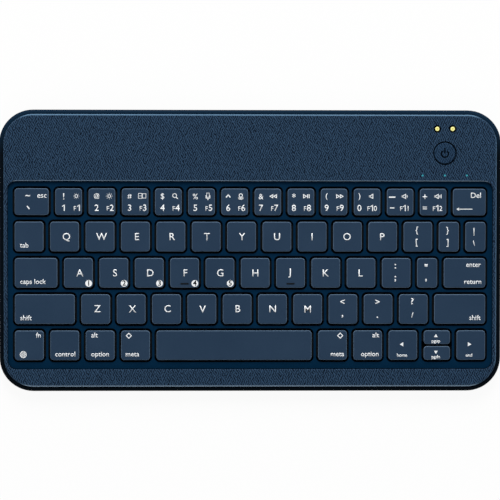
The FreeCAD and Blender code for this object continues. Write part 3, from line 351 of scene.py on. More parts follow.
finishes = {
    # spark-textured ABS, nearly black: a dull dark rim, turned navy along the back by painted light, with painted
    # shade on its upright sides
    "case_plastic": {"name": "texturedBlackNavyAbs", "dark": "02070d", "light": "040c14",
                     "back": ("0d2336", 46.0, 60.0), "side": "010408",
                     "grit": 0.4, "rough": (0.6, 0.7), "bump": 0.25, "gleam": 0.03},
    # satin moulded ABS: deep blue between the keys, with painted shade on its upright walls
    "web_plastic": {"name": "satinBlueAbs", "dark": "02223a", "light": "042843", "side": "010305",
                    "grit": 0.4, "rough": (0.55, 0.65), "bump": 0.15, "gleam": 0.03},
    # cold-rolled steel sheet: grey with lines along the rolling
    "stack_steel": {"name": "rolledSteelSheet", "dark": "7d8186", "light": "a3a7ab", "drawn": (0.05, 1.0, 1.0),
                    "grit": 0.3, "rough": (0.3, 0.45), "bump": 0.2, "metal": 1.0},
    # drawn spring wire: bright with lines along its length
    "spring_wire": {"name": "drawnSpringWire", "dark": "8f9295", "light": "b6b8ba", "drawn": (0.1, 1.0, 1.0),
                    "grit": 0.2, "rough": (0.25, 0.35), "bump": 0.15, "metal": 1.0},
    # blackened screws: dark and half dull
    "screw_steel": {"name": "blackenedSteel", "dark": "26282b", "light": "36393d",
                    "grit": 0.3, "rough": (0.35, 0.5), "bump": 0.2, "metal": 1.0},
    # nickel plate over the magnets: pale, warm and bright
    "magnet_nickel": {"name": "platedNickel", "dark": "b4b1aa", "light": "cac7c0",
                      "grit": 0.5, "rough": (0.18, 0.28), "bump": 0.1, "metal": 1.0},
    # polyester film printed with silver ink: milky with grey traces
    "circuit_film": {"name": "printedPolyesterFilm", "dark": "9aa0a4", "light": "d9dcdd", "drawn": (1.0, 0.1, 1.0),
                     "grit": 1.2, "rough": (0.25, 0.4), "bump": 0.1},
    # carbon-filled silicone: black and dull, so the slits between caps and web stay dark
    "dome_silicone": {"name": "blackSilicone", "dark": "050607", "light": "0b0c0e",
                      "grit": 0.6, "rough": (0.6, 0.7), "bump": 0.15, "gleam": 0.15},
    # aluminium pouch foil: dull silver with a faint quilting
    "battery_foil": {"name": "pouchFoil", "dark": "9fa3a7", "light": "c6c9cc",
                     "grit": 0.9, "rough": (0.32, 0.48), "bump": 0.35, "metal": 1.0},
    # glass-epoxy laminate under solder mask: deep green with a soft shine
    "board_laminate": {"name": "greenSolderMask", "dark": "0e3b22", "light": "1a5a35",
                       "grit": 0.5, "rough": (0.3, 0.42), "bump": 0.2},
    # glass-filled nylon switch: black and faintly grainy
    "switch_plastic": {"name": "glassFilledNylon", "dark": "141516", "light": "222426",
                       "grit": 0.3, "rough": (0.45, 0.6), "bump": 0.3},
    # gold plate over the charging contacts: a pale yellow, not metallic, whose brightness is a painted highlight, a
    # deeper yellow middle, and a black ring of painted shade round the plate
    "contact_gold": {"name": "wornGoldPlate", "dark": "faf294", "light": "ffffb4",
                     "grit": 0.4, "rough": (0.45, 0.6), "bump": 0.15, "gleam": 0.05,
                     "sealed": "010204", "dimple": "d6c658", "middle": (93.5, 58.7, 6.45), "step": 3.7,
                     "plate": 1.02},
    # tinted polycarbonate light pipes: teal, slightly clear
    "light_pipe": {"name": "tintedPolycarbonate", "dark": "2f93a8", "light": "4bb4c8",
                   "grit": 0.5, "rough": (0.2, 0.3), "bump": 0.1, "clear": 0.2},
    # vinyl sleeves of the battery's leads: dull red
    "lead_sleeve": {"name": "vinylSleeve", "dark": "7e1514", "light": "9c1f1c",
                    "grit": 0.4, "rough": (0.35, 0.5), "bump": 0.15},
}
# edge is a painted highlight on the rounded edges; the near black is painted shade on the skirts and the homing
# bars
capFinish = {"name": "softTouchNavyCaps", "dark": "1d334a", "light": "233950", "edge": "4e647a",
             "bare": "020407", "barLevel": 6.36, "skirt": (5.5, 5.75),
             "grit": 0.5, "cloud": 18.0, "rough": (0.58, 0.68), "bump": 0.12, "gleam": 0.2}
# the deck's frame shows only in the rings and slits: plain black ABS
frameFinish = {"name": "mouldedBlackAbs", "dark": "010204", "light": "030508",
               "grit": 0.4, "rough": (0.6, 0.7), "bump": 0.1, "gleam": 0.02}

painted = {slot: evenFinish(settings) for slot, settings in finishes.items()}
painted["key_plastic"] = capPlastic(capFinish)
for part in frame["record"]["subparts"]:
    if part["material_slot"] in painted:
        dressNode(part["node"], painted[part["material_slot"]])
dressNode("deck_frame", evenFinish(frameFinish))
print("finishes on", len(painted), "material slots")


# leather over the deck: one skin, rolled over the edge, with the well and the holes cut through

deck = {
    "corner": 14.2, "cornerSteps": 20, "roll": 1.0, "rollSteps": 6, "skin": 0.6,
    "wellSide": 116.75, "wellFront": -57.05, "wellBack": 33.45,
    "wellCorner": 4.2, "wellCornerSteps": 10, "wellRoll": 0.5, "wellRollSteps": 4,
    "holes": [(93.5, 47.0, 5.7),  # power button
              (89.8, 58.7, 1.8), (97.2, 58.7, 1.8),  # charging contacts
              (82.8, 36.3, 0.55), (93.5, 36.3, 0.55), (104.2, 36.3, 0.55)],  # indicator lights
    "holeSteps": 48, "holeRoll": 0.12, "holeRollSteps": 3,
    "cut": 1.2, "clear": 1.0,  # how far the cutters reach below and above the top
    # forwardEdge: the brighter painted highlight on the rolled edges that face the typist
    "forwardEdge": "7b91a6", "flat": (0.2398, 0.1335), "area": 0.0106,
}
# where the deck's edges and faces are found: angles in radians, upward lean, and places in mm
deckFind = {"sharp": 1.0, "steep": 0.3, "level": 0.999, "forward": -0.1, "pastWell": 0.1, "pastSkin": 0.7,
            "wellBand": 0.6, "frontBand": 1.2, "holesSide": 107, "holesFront": 1, "holesBack": 61.5}
# edge is the painted highlight on the rolled edges; crevice is near black, partly painted shade in the grain
deckGrain = {"name": "embossedNavyLeathercloth", "crevice": "010918", "top": "324b65", "edge": "54728b",
             "wear": 1.0, "rightWear": 0.45, "leftWear": 0.1, "pitch": 1.0, "slants": (33.0, -24.0), "patch": 2.0,
             "sway": 3.5, "broken": 2.8, "pore": 0.45, "porous": 0.35,
             "matt": 0.7, "satin": 0.6, "bump": 0.4, "depth": 0.1, "gleam": 0.05}
noEdgeHighlight = {"wear": 0.0, "rightWear": 0.0, "leftWear": 0.0}
innerGrain = dict(deckGrain, name="unwornNavyLeathercloth", **noEdgeHighlight)
forwardGrain = dict(deckGrain, name="rubbedNavyLeathercloth", edge=deck["forwardEdge"])
baseGrain = dict(deckGrain, name="embossedNavyLeatherclothBase", **noEdgeHighlight)
# the button's face is moulded with the same grain as the leather round it
buttonGrain = dict(deckGrain, name="grainMouldedNavyAbs", crevice="0b1d31", top="2c455f", **noEdgeHighlight)
# the cut edges of the leather, round the well and the holes: flat black, painted shade on these upright walls
cutWallShade = {"name": "acrylicEdgePaint", "dark": "020407", "light": "05080c",
             "grit": 0.4, "rough": (0.6, 0.7), "bump": 0.1, "gleam": 0.02}


def makeDeckLeather():
    low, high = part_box("deck_leather")
    side, front, back = [deck[name] * mm for name in ("wellSide", "wellFront", "wellBack")]
    cut, clear = deck["cut"] * mm, deck["clear"] * mm
    skin = roundedBlock("deckLeather", low, high, deck["corner"] * mm, deck["cornerSteps"])
    pick(skin, "edges", lambda edge: min(v.co.z for v in edge.verts) > high.z - hair)
    bpy.ops.mesh.bevel(offset=deck["roll"] * mm, segments=deck["rollSteps"], affect="EDGES")
    pick(skin, "faces", lambda face: face.normal.z < downward)
    bpy.ops.mesh.delete(type="FACE")
    applyModifier(skin, "SOLIDIFY", thickness=deck["skin"] * mm, offset=-1.0)
    cutters = [roundedBlock("wellCutter", (-side, front, high.z - cut), (side, back, high.z + clear),
                            deck["wellCorner"] * mm, deck["wellCornerSteps"])]
    clearSelection()
    for x, y, radius in deck["holes"]:
        bpy.ops.mesh.primitive_cylinder_add(vertices=deck["holeSteps"], radius=radius * mm, depth=2 * cut,
                                            location=(x * mm, y * mm, high.z))
        cutters.append(bpy.context.object)
    cutter = joinPieces("deckCutter", cutters)
    applyModifier(skin, "BOOLEAN", operation="DIFFERENCE", solver="EXACT", object=cutter)
    bpy.data.objects.remove(cutter)
    pastWell = (deck["wellBack"] + deckFind["pastWell"]) * mm

    def onRim(edge):
        return min(v.co.z for v in edge.verts) >= high.z - hair and edge.calc_face_angle(0.0) >= deckFind["sharp"]

    selectOnly(skin)
    bpy.ops.object.mode_set(mode="EDIT")
    pick(skin, "edges", lambda edge: onRim(edge) and max(v.co.y for v in edge.verts) < pastWell)
    bpy.ops.mesh.bevel(offset=deck["wellRoll"] * mm, segments=deck["wellRollSteps"], affect="EDGES")
    pick(skin, "edges", lambda edge: onRim(edge) and min(v.co.y for v in edge.verts) > pastWell)
    bpy.ops.mesh.bevel(offset=deck["holeRoll"] * mm, segments=deck["holeRollSteps"], affect="EDGES")
    clearSelection()
    smoothEdges(skin)
    skin.data.materials.clear()
    for material in (grainedLeather(deckGrain), evenFinish(cutWallShade),
                     grainedLeather(innerGrain), grainedLeather(forwardGrain)):
        skin.data.materials.append(material)
    selectOnly(skin)
    bpy.ops.object.mode_set(mode="EDIT")

    def isCut(face):
        middle = face.calc_center_median()
        inset = deckFind["pastSkin"] * mm
        inside = abs(middle.x) < high.x - inset and abs(middle.y) < high.y - inset
        return face.normal.z < deckFind["steep"] and inside

    def isRolled(face):
        return deckFind["steep"] <= face.normal.z < deckFind["level"]

    def isInner(face):
        x, y = [place / mm for place in face.calc_center_median()[:2]]
        band = deckFind["wellBand"]
        inWell = abs(x) < deck["wellSide"] + band and deck["wellFront"] - band < y < deck["wellBack"] + band
        inHole = (abs(x) < deckFind["holesSide"]
                  and deck["wellBack"] + deckFind["holesFront"] < y < deckFind["holesBack"])
        return isRolled(face) and (inWell or inHole)

    def isForward(face):  # the rolled edges that face the typist
        line = face.calc_center_median().y
        onEdge = abs(line - back) < deckFind["wellBand"] * mm or line < low.y + deckFind["frontBand"] * mm
        return isRolled(face) and face.normal.y < deckFind["forward"] and onEdge

    # slot 1 gives painted shade to the cut walls, slot 2 leaves the rolled edges round the well and holes without
    # the painted highlight, slot 3 gives the forward rolled edges a brighter painted highlight
    for index, wanted in ((1, isCut), (2, isInner), (3, isForward)):
        pick(skin, "faces", wanted)
        skin.active_material_index = index
        bpy.ops.object.material_slot_assign()
    clearSelection()
    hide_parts("deck_leather")
    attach(skin, "keyboard")


base = {"corner": 14.4, "cornerSteps": 20, "edge": 0.2, "edgeSteps": 3, "flat": (0.2378, 0.1315), "area": 0.03109}


def makeBaseLeather():
    low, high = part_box("base_cover")
    skin = roundedBlock("baseLeather", low, high, base["corner"] * mm, base["cornerSteps"])
    pick(skin, "edges", lambda edge: max(v.co.z for v in edge.verts) < low.z + hair)
    bpy.ops.mesh.bevel(offset=base["edge"] * mm, segments=base["edgeSteps"], affect="EDGES")
    clearSelection()
    smoothEdges(skin)
    skin.data.materials.clear()
    skin.data.materials.append(grainedLeather(baseGrain))
    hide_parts("base_cover")
    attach(skin, "keyboard")


makeDeckLeather()
makeBaseLeather()
dressNode("power_button", grainedLeather(buttonGrain))
print("leather made")


# printed signs: a film of ink on each cap, from plain letters and small shapes

# pad-printed white ink: flat and slightly chalky
paleInk = evenFinish({"name": "padPrintedWhiteInk", "dark": "eef2f5", "light": "fbfdfe",
                      "grit": 0.6, "rough": (0.5, 0.6), "bump": 0.05})
# dark ink for the digits in the white discs, and painted shade for the power sign's debossed ring and bar: flat,
# nearly black
darkInkAndGrooveShade = evenFinish({"name": "padPrintedDarkInk", "dark": "01050c", "light": "020710",
                      "grit": 0.6, "rough": (0.7, 0.8), "bump": 0.05, "gleam": 0.02})

sign = {"film": 0.016, "sink": 0.004, "capHeight": 0.682, "curveSteps": 3, "roundSteps": 28, "frameLine": 0.22,
        "keyTop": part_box("q_key")[1].z / mm}
# cap height in mm and how far the strokes swell, as a share of the type size
inkSizes = {"letter": (3.35, 0.002), "digit": (2.95, 0.008), "small": (2.1, 0.002), "lowDigit": (2.3, 0.004),
            "at": (1.95, 0.004), "hash": (2.2, 0.004), "money": (2.6, 0.0), "bracket": (2.5, 0.006),
            "brace": (2.8, 0.006), "dots": (3.1, 0.022), "query": (2.9, 0.012), "tilde": (2.7, 0.018),
            "word": (2.25, 0.008), "esc": (2.5, 0.006), "arrow": (1.5, 0.016), "disc": (2.4, 0.022)}


def inkWord(words, size, x, y, align="CENTER", ink=None, lift=0.0):
    clearSelection()
    bpy.ops.object.text_add(location=(x * mm, y * mm, lift * mm))
    text = bpy.context.object
    text.data.body = words
    height, swell = inkSizes[size]
    text.data.size = height / sign["capHeight"] * mm
    text.data.align_x = align
    text.data.offset = text.data.size * swell
    text.data.resolution_u = sign["curveSteps"]
    bpy.ops.object.convert(target="MESH")
    printed = bpy.context.object
    printed.data.materials.append(ink or paleInk)
    return printed


def inkCentred(words, size, x, y, widen=1.0):
    # set by the middle of its outline
    printed = inkWord(words, size, 0, 0)
    for axis, middle, stretch in ((0, x * mm, widen), (1, y * mm, 1.0)):
        edges = [corner.co[axis] * stretch for corner in printed.data.vertices]
        printed.location[axis] = middle - (min(edges) + max(edges)) / 2
        printed.scale[axis] = stretch
    return printed


def inkShape(kind, x, y, a, b=0.0, turn=0.0, ink=None):
    # disc a=radius, ring or diamond a=radius b=line, bar a=length b=line, frame a=width b=depth,
    # wedge a=radius b=line, or 0 for a full one
    clearSelection()
    spot = (x * mm, y * mm, 0.0)
    if kind in ("bar", "frame"):
        bpy.ops.mesh.primitive_plane_add(size=1, location=spot, rotation=(0, 0, math.radians(turn)))
        bpy.context.object.scale = (a * mm, b * mm, 1)
    else:
        corners = {"wedge": 3, "diamond": 4}.get(kind, sign["roundSteps"])
        lead = -90 if kind == "wedge" else 0  # so that a wedge points to the right
        bpy.ops.mesh.primitive_circle_add(vertices=corners, radius=a * mm, fill_type="NGON", location=spot,
                                          rotation=(0, 0, math.radians(turn + lead)))
    shape = bpy.context.object
    bpy.ops.object.transform_apply(location=True, rotation=True, scale=True)
    if kind in ("ring", "frame", "diamond") or kind == "wedge" and b:
        bpy.ops.object.mode_set(mode="EDIT")
        bpy.ops.mesh.select_all(action="SELECT")
        bpy.ops.mesh.inset(thickness=(sign["frameLine"] if kind == "frame" else b) * mm)
        bpy.ops.mesh.delete(type="FACE")
        bpy.ops.object.mode_set(mode="OBJECT")
    shape.data.materials.append(ink or paleInk)
    return shape


def inkFilm(name, shapes, body, top):
    film = joinPieces(name, shapes)
    bpy.ops.object.mode_set(mode="EDIT")
    bpy.ops.mesh.select_all(action="SELECT")
    bpy.ops.transform.translate(value=(0, 0, (top + sign["film"] - sign["sink"]) * mm))
    bpy.ops.object.mode_set(mode="OBJECT")
    applyModifier(film, "SOLIDIFY", thickness=sign["film"] * mm, offset=-1.0)
    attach(film, body)


def rays(count, reach, length, line):
    spokes = []
    for step in range(count):
        angle = 2 * math.pi * step / count
        spokes.append(("bar", reach * math.cos(angle), reach * math.sin(angle), length, line, math.degrees(angle)))
    return spokes


# shape, place about the sign's middle, then the sizes that inkShape takes, in mm and degrees
speaker = [("bar", -1.25, 0, 0.9, 0.45, 90), ("wedge", -0.15, 0, 1.5, 0.36, 180)]
icons = {
    "dimSun": [("ring", 0, 0, 0.85, 0.3)] + rays(8, 1.3, 0.24, 0.2),
    "brightSun": [("ring", 0, 0, 0.8, 0.28)] + rays(8, 1.35, 0.4, 0.22),
    "panes": [("frame", -0.95, 0.1, 1.9, 2.6), ("frame", 0.95, 0.1, 1.9, 2.3), ("bar", -0.95, 0.1, 1.6, 0.2)],
    "magnifier": [("ring", -0.2, 0.25, 1.1, 0.3), ("bar", 0.95, -0.9, 1.0, 0.4, -45)],
    "microphone": [("frame", 0, 0.5, 1.5, 2.2), ("bar", -0.95, -0.2, 1.3, 0.3, 90),
                   ("bar", 0.95, -0.2, 1.3, 0.3, 90), ("bar", 0, -0.95, 2.0, 0.3), ("bar", 0, -1.4, 0.9, 0.5, 90)],
    "lock": [("bar", 0, -0.55, 2.6, 0.45), ("bar", 0, -1.35, 2.6, 0.45), ("bar", -1.05, -0.95, 1.2, 0.5, 90),
             ("bar", 1.05, -0.95, 1.2, 0.5, 90), ("bar", 0, -0.95, 0.5, 0.45, 90), ("ring", 0, 0.4, 0.95, 0.36)],
    "rewind": [("wedge", -0.85, 0, 1.25, 0.34, 180), ("wedge", 0.95, 0, 1.25, 0.34, 180)],
    "playPause": [("wedge", -0.95, 0, 1.3, 0.34), ("bar", 0.55, 0, 1.9, 0.42, 90), ("bar", 1.3, 0, 1.9, 0.42, 90)],
    "forward": [("wedge", -0.85, 0, 1.25, 0.34), ("wedge", 0.95, 0, 1.25, 0.34)],
    "speakerOff": speaker,
    "speakerLow": speaker + [("bar", 1.15, 0, 1.1, 0.34, 90)],
    "speakerHigh": speaker + [("bar", 1.15, 0, 1.1, 0.34, 90), ("bar", 1.8, 0, 1.9, 0.34, 90)],
    "globe": [("ring", 0, 0, 1.65, 0.4), ("bar", 0, 0, 2.9, 0.3), ("bar", 0, 0, 2.9, 0.36, 90),
              ("bar", 0, 0.85, 2.4, 0.26), ("bar", 0, -0.85, 2.4, 0.26), ("ring", 0, 0, 0.95, 0.3)],
    "diamond": [("diamond", 0, 0, 1.5, 0.4)],
    "leftArrow": [("bar", -1.5, 0, 7.0, 0.32), ("wedge", -4.9, 0, 0.85, 0, 180)],
    # signs of plain strokes
    "1": [("bar", 0.3, 0, 3.0, 0.46, 90), ("bar", -0.25, 0.95, 1.2, 0.4, 38)],
    "^": [("bar", -0.5, 0.25, 1.75, 0.52, 52), ("bar", 0.5, 0.25, 1.75, 0.52, -52)],
    "_": [("bar", 0, -0.2, 3.1, 0.6)],
    "-": [("bar", 0, 0.05, 2.1, 0.48)],
    "=": [("bar", 0, 0.5, 2.1, 0.36), ("bar", 0, -0.4, 2.1, 0.36)],
    "`": [("bar", 0, 0.1, 1.9, 0.55, -52)],
}

# the rows of caps: middle lines, and runs of names with their pitch
capGap = 3.2
fieldLeft = -114.9
rowLines = {"number": 23.5, "upper": 6.775, "home": -10.675, "lower": -28.125, "front": -45.575}
numberNames = ["one", "two", "three", "four", "five", "six", "seven", "eight", "nine", "zero", "minus", "equals"]
letters = "qwertyuiopasdfghjklzxcvbnm"
keyRuns = {
    "number": [(["esc"], 19.5), (numberNames, 191.3 / 12), (["delete"], 19.0)],
    "upper": [(["tab", *"qwertyuiop", "leftBracket"], 17.0), (["rightBracket", "backslash"], 12.9)],
    "home": [(["capsLock"], 23.6), ([*"asdfghjkl", "semicolon"], 17.0), (["quote"], 12.9), (["enter"], 23.3)],
    "lower": [(["leftShift"], 31.9), ([*"zxcvbnm", "comma", "period", "slash"], 17.0), (["rightShift"], 27.9)],
    "front": [(["fn", "control", "leftAlt", "leftMeta"], 17.0), (["space"], 77.9),
              (["rightMeta", "rightAlt", "leftArrow"], 17.0), (["upDown"], 15.9), (["rightArrow"], 17.0)],
}
spots = {}  # a cap's middle and half its width
for row, runs in keyRuns.items():
    capLeft = fieldLeft
    for names, pitch in runs:
        for name in names:
            spots[name] = (capLeft + pitch / 2, rowLines[row], (pitch - capGap) / 2)
            capLeft += pitch

lines = {"letter": -1.68, "wordBack": 3.8, "wordFront": -5.3}  # lines of type before or behind a cap's middle
margins = {"left": 2.55, "right": 2.25, "rightFront": 1.45}  # from a cap's side to a word


def inkIcon(name, x, y):
    return [inkShape(kind, x + dx, y + dy, *sizes) for kind, dx, dy, *sizes in icons[name]]


def cornerWord(words, key, side, line, nudge=0.0):
    x, y, half = spots[key]
    inset = margins["rightFront" if y == rowLines["front"] else "right"]
    edge = {"LEFT": x - half + margins["left"], "RIGHT": x + half - inset}[side]
    return inkWord(words, "word", edge + nudge, y + line, side)


# the printed letters stand a little closer than the caps: where they agree, row by row, and how fast they part
letterDrift = {"share": 0.008, "upper": 22.0, "home": 8.0, "lower": 24.0}
letterLift = {"j": 0.5, "z": 0.2, "x": 0.12, "c": 0.2, "b": 0.2, "n": 0.15}
disc = {"x": 4.95, "y": -5.05, "radius": 1.6, "digitLine": -6.1, "lift": 0.006,
        "digits": dict(zip("asdfg", "12345"))}


def makeLetterSigns():
    agreeAt = {rowLines[row]: letterDrift[row] for row in ("upper", "home", "lower")}
    for letter in letters:
        x, y, half = spots[letter]
        drift = letterDrift["share"] * (agreeAt[y] - x)
        shapes = [inkWord(letter.upper(), "letter", x + drift, y + lines["letter"] + letterLift.get(letter, 0.0))]
        if letter in disc["digits"]:
            shapes.append(inkShape("disc", x + disc["x"], y + disc["y"], disc["radius"]))
            shapes.append(inkWord(disc["digits"][letter], "disc", x + disc["x"], y + disc["digitLine"],
                                  ink=darkInkAndGrooveShade, lift=disc["lift"]))
        inkFilm(letter + "KeySign", shapes, letter + "_key", sign["keyTop"])


numberSigns = list("!@#$%^&*()_+")
numberDigits = list("1234567890-=")
numberIcons = ["dimSun", "brightSun", "panes", "magnifier", "microphone", "lock", "rewind", "playPause", "forward",
               "speakerOff", "speakerLow", "speakerHigh"]
signSizes = {"@": "at", "#": "hash", "$": "money", "%": "money", "&": "money", "(": "bracket", ")": "bracket"}
signLift = {"^": 0.3, "*": 0.45, "@": 0.15}
numberPrint = {"upper": 2.55, "lower": -2.9, "signs": -2.35, "icons": 3.7, "iconLift": 0.17,
               "functions": 2.3, "typeDrop": 1.35, "digit": 2.6,
               "wider": 1.0, "ten": 2.4, "afterTen": 3.2,  # function numbers of two digits
               "drift": 0.0095, "driftFrom": -87.4}


def inkSign(character, x, middle):
    if character in icons:
        return inkIcon(character, x, middle)
    return [inkCentred(character, signSizes.get(character, "digit"), x, middle + signLift.get(character, 0.0))]


def makeNumberSigns():
    shapes = []
    for index, name in enumerate(numberNames):
        x, y, half = spots[name]
        x -= numberPrint["drift"] * (x - numberPrint["driftFrom"])
        upper, lower = y + numberPrint["upper"], y + numberPrint["lower"]
        shapes += inkSign(numberSigns[index], x + numberPrint["signs"], upper)
        shapes += inkSign(numberDigits[index], x + numberPrint["signs"], lower)
        shapes += inkIcon(numberIcons[index], x + numberPrint["icons"], upper + numberPrint["iconLift"])
        tens, ones = divmod(index + 1, 10)
        start = x + numberPrint["functions"] - (numberPrint["wider"] if tens else 0.0)
        typeLine = lower - numberPrint["typeDrop"]
        shapes.append(inkWord("F", "small", start, typeLine, "LEFT"))
        if tens:
            shapes += inkSign("1", start + numberPrint["ten"], lower)
            shapes.append(inkWord(str(ones), "lowDigit", start + numberPrint["afterTen"], typeLine, "LEFT"))
        else:
            shapes += inkSign(str(ones), start + numberPrint["digit"], lower)
    inkFilm("numberKeySigns", shapes, "number_keys", sign["keyTop"])


# the two signs, their sizes and their middles behind and before the cap's middle line
pairSigns = {
    "leftBracket": ("{", "brace", 2.95, "[", "brace", -2.9),
    "rightBracket": ("}", "brace", 2.9, "]", "brace", -3.0),
    "backslash": ("|", "brace", 2.4, "\\", "bracket", -3.1), "semicolon": (":", "dots", 3.2, ";", "dots", -2.9),
    "quote": ("\"", "dots", 3.6, "'", "dots", -3.55), "comma": ("<", "digit", 3.55, ",", "dots", -3.5),
    "period": (">", "digit", 3.5, ".", "dots", -3.95), "slash": ("?", "query", 3.8, "/", "bracket", -2.9)}
pairPrint = {"drift": 0.0085, "driftFrom": 20.0, "widen": {"query": 1.3}}


def makePairSigns():
    shapes = []
    for name, pair in pairSigns.items():
        x, y, half = spots[name]
        x -= pairPrint["drift"] * (x - pairPrint["driftFrom"])
        for character, size, middle in (pair[:3], pair[3:]):
            shapes.append(inkCentred(character, size, x, y + middle, pairPrint["widen"].get(size, 1.0)))
    inkFilm("signKeySigns", shapes, "sign_keys", sign["keyTop"])


wordPrint = {"tilde": (-1.8, 2.85), "esc": (5.0, 1.85), "grave": -1.6,
             "delete": (2.1, 2.0), "deleteArrow": (-0.5, -3.4)}
# node, side, and each word with its line and a nudge to the right
cornerSigns = {"tab": ("tab_key", "LEFT", [("tab", lines["wordFront"], 0.0)]),
               "capsLock": ("caps_lock_key", "LEFT", [("caps lock", lines["wordFront"], 0.0)]),
               "enter": ("enter_key", "RIGHT", [("enter", 2.9, 0.0), ("return", lines["wordFront"], 0.45)]),
               "leftShift": ("left_shift_key", "LEFT", [("shift", lines["wordFront"], 0.0)]),
               "rightShift": ("right_shift_key", "RIGHT", [("shift", lines["wordFront"], 0.0)])}


def makeWordSigns():
    x, y, half = spots["esc"]
    (tildeX, tildeY), (escX, escY) = wordPrint["tilde"], wordPrint["esc"]
    shapes = [inkCentred("~", "tilde", x + tildeX, y + tildeY), inkWord("esc", "esc", x + escX, y + escY)]
    shapes += inkSign("`", x + wordPrint["grave"], y + numberPrint["lower"])
    inkFilm("escKeySign", shapes, "esc_key", sign["keyTop"])
    x, y, half = spots["delete"]
    (inset, line), (arrowX, arrowY) = wordPrint["delete"], wordPrint["deleteArrow"]
    shapes = [inkWord("Del", "esc", x + half - inset, y + line, "RIGHT")]
    shapes += inkIcon("leftArrow", x + arrowX, y + arrowY)
    inkFilm("deleteKeySign", shapes, "delete_key", sign["keyTop"])
    for key, (node, side, words) in cornerSigns.items():
        shapes = [cornerWord(word, key, side, line, nudge) for word, line, nudge in words]
        inkFilm(key + "KeySign", shapes, node, sign["keyTop"])


modifierPrint = {"fn": 0.25, "globe": (-2.9, -4.4), "control": 0.3, "diamondLine": 4.65,
                 "leftDiamond": 3.7, "rightDiamond": 3.2, "leftMeta": -0.5, "rightMeta": 0.2}


def makeModifierSigns():
    back, front = lines["wordBack"], lines["wordFront"]
    x, y, half = spots["fn"]
    globeX, globeY = modifierPrint["globe"]
    shapes = [cornerWord("fn", "fn", "RIGHT", back, modifierPrint["fn"])]
    shapes += inkIcon("globe", x + globeX, y + globeY)
    x, y, half = spots["control"]
    shapes.append(inkWord("control", "word", x + modifierPrint["control"], y + front))
    for key, side in (("leftAlt", "LEFT"), ("rightAlt", "RIGHT")):
        shapes += [cornerWord("alt", key, side, back), cornerWord("option", key, side, front)]
    x, y, half = spots["leftMeta"]
    shapes += inkIcon("diamond", x - half + modifierPrint["leftDiamond"], y + modifierPrint["diamondLine"])
    shapes.append(cornerWord("meta", "leftMeta", "LEFT", front, modifierPrint["leftMeta"]))
    x, y, half = spots["rightMeta"]
    shapes += inkIcon("diamond", x + half - modifierPrint["rightDiamond"], y + modifierPrint["diamondLine"])
    shapes.append(cornerWord("meta", "rightMeta", "RIGHT", front, modifierPrint["rightMeta"]))
    inkFilm("modifierKeySigns", shapes, "modifier_keys", sign["keyTop"])


arrow = {"size": 1.15, "split": 3.8125, "middle": 0.45, "word": -5.55,
         "shortSize": 0.9, "shortMiddle": 0.6, "shortWord": -2.5, "shortShift": -0.5}
pairX, pairY, pairHalf = spots["upDown"]
spots["upArrow"] = (pairX, pairY + arrow["split"], pairHalf)
spots["downArrow"] = (pairX, pairY - arrow["split"], pairHalf)
# node, word, turn of the wedge and shift to the right
longArrows = {"leftArrow": ("left_arrow_key", "home", 180, -0.4),
              "rightArrow": ("right_arrow_key", "end", 0, -0.9)}
shortArrows = {"upArrow": ("up_arrow_key", "pgup", 90, arrow["shortShift"]),
               "downArrow": ("down_arrow_key", "pgdn", -90, arrow["shortShift"])}


def makeArrowSigns():
    for arrows, size, middle, line in (
            (longArrows, arrow["size"], arrow["middle"], arrow["word"]),
            (shortArrows, arrow["size"] * arrow["shortSize"], arrow["shortMiddle"], arrow["shortWord"])):
        for name, (node, words, turn, shift) in arrows.items():
            x, y, half = spots[name]
            x += shift
            shapes = [inkShape("wedge", x, y + middle, size, 0, turn), inkWord(words, "arrow", x, y + line)]
            inkFilm(name + "KeySign", shapes, node, sign["keyTop"])


power = {"x": 93.5, "y": 46.75, "radius": 2.05, "line": 0.72, "opening": 40.0, "bar": 2.7, "barLift": 1.5}


def makePowerSign():
    # the power sign: painted shade standing for a debossed ring and bar
    ring = inkShape("ring", power["x"], power["y"], power["radius"], power["line"], ink=darkInkAndGrooveShade)
    selectOnly(ring)
    bpy.ops.object.mode_set(mode="EDIT")

    def inOpening(face):
        middle = face.calc_center_median()
        angle = math.degrees(math.atan2(middle.x - power["x"] * mm, middle.y - power["y"] * mm))
        return abs(angle) < power["opening"]

    pick(ring, "faces", inOpening)
    bpy.ops.mesh.delete(type="FACE")
    bpy.ops.object.mode_set(mode="OBJECT")
    bar = inkShape("bar", power["x"], power["y"] + power["barLift"], power["bar"], power["line"], 90, ink=darkInkAndGrooveShade)
    inkFilm("powerSign", [ring, bar], "power_button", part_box("power_button")[1].z / mm)


makeLetterSigns()
makeNumberSigns()
makePairSigns()
makeWordSigns()
makeModifierSigns()
makeArrowSigns()
makePowerSign()
print("signs printed")


# silicone domes: the flat sheet stays in place, and a dome stands under each key

dome = {"foot": 3.21, "head": 2.1, "sides": 32, "round": 0.4, "roundSteps": 2, "wall": 0.35,
        "sheet": 0.25, "skim": 0.01, "cutter": 400, "weld": 0.001, "pressed": 0.19}
domeKeys = {letter + "_key": [letter] for letter in letters}
domeKeys.update({
    "esc_key": ["esc"], "delete_key": ["delete"], "tab_key": ["tab"], "caps_lock_key": ["capsLock"],
    "enter_key": ["enter"], "left_shift_key": ["leftShift"], "right_shift_key": ["rightShift"],
    "space_bar": ["space"], "left_arrow_key": ["leftArrow"], "up_arrow_key": ["upArrow"],
    "down_arrow_key": ["downArrow"], "right_arrow_key": ["rightArrow"],
    "number_keys": numberNames, "sign_keys": list(pairSigns),
    "modifier_keys": ["fn", "control", "leftAlt", "leftMeta", "rightMeta", "rightAlt"]})


def finishSilicone(piece):
    smoothEdges(piece)
    piece.data.materials.clear()
    piece.data.materials.append(painted["dome_silicone"])
    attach(piece, "keyboard")


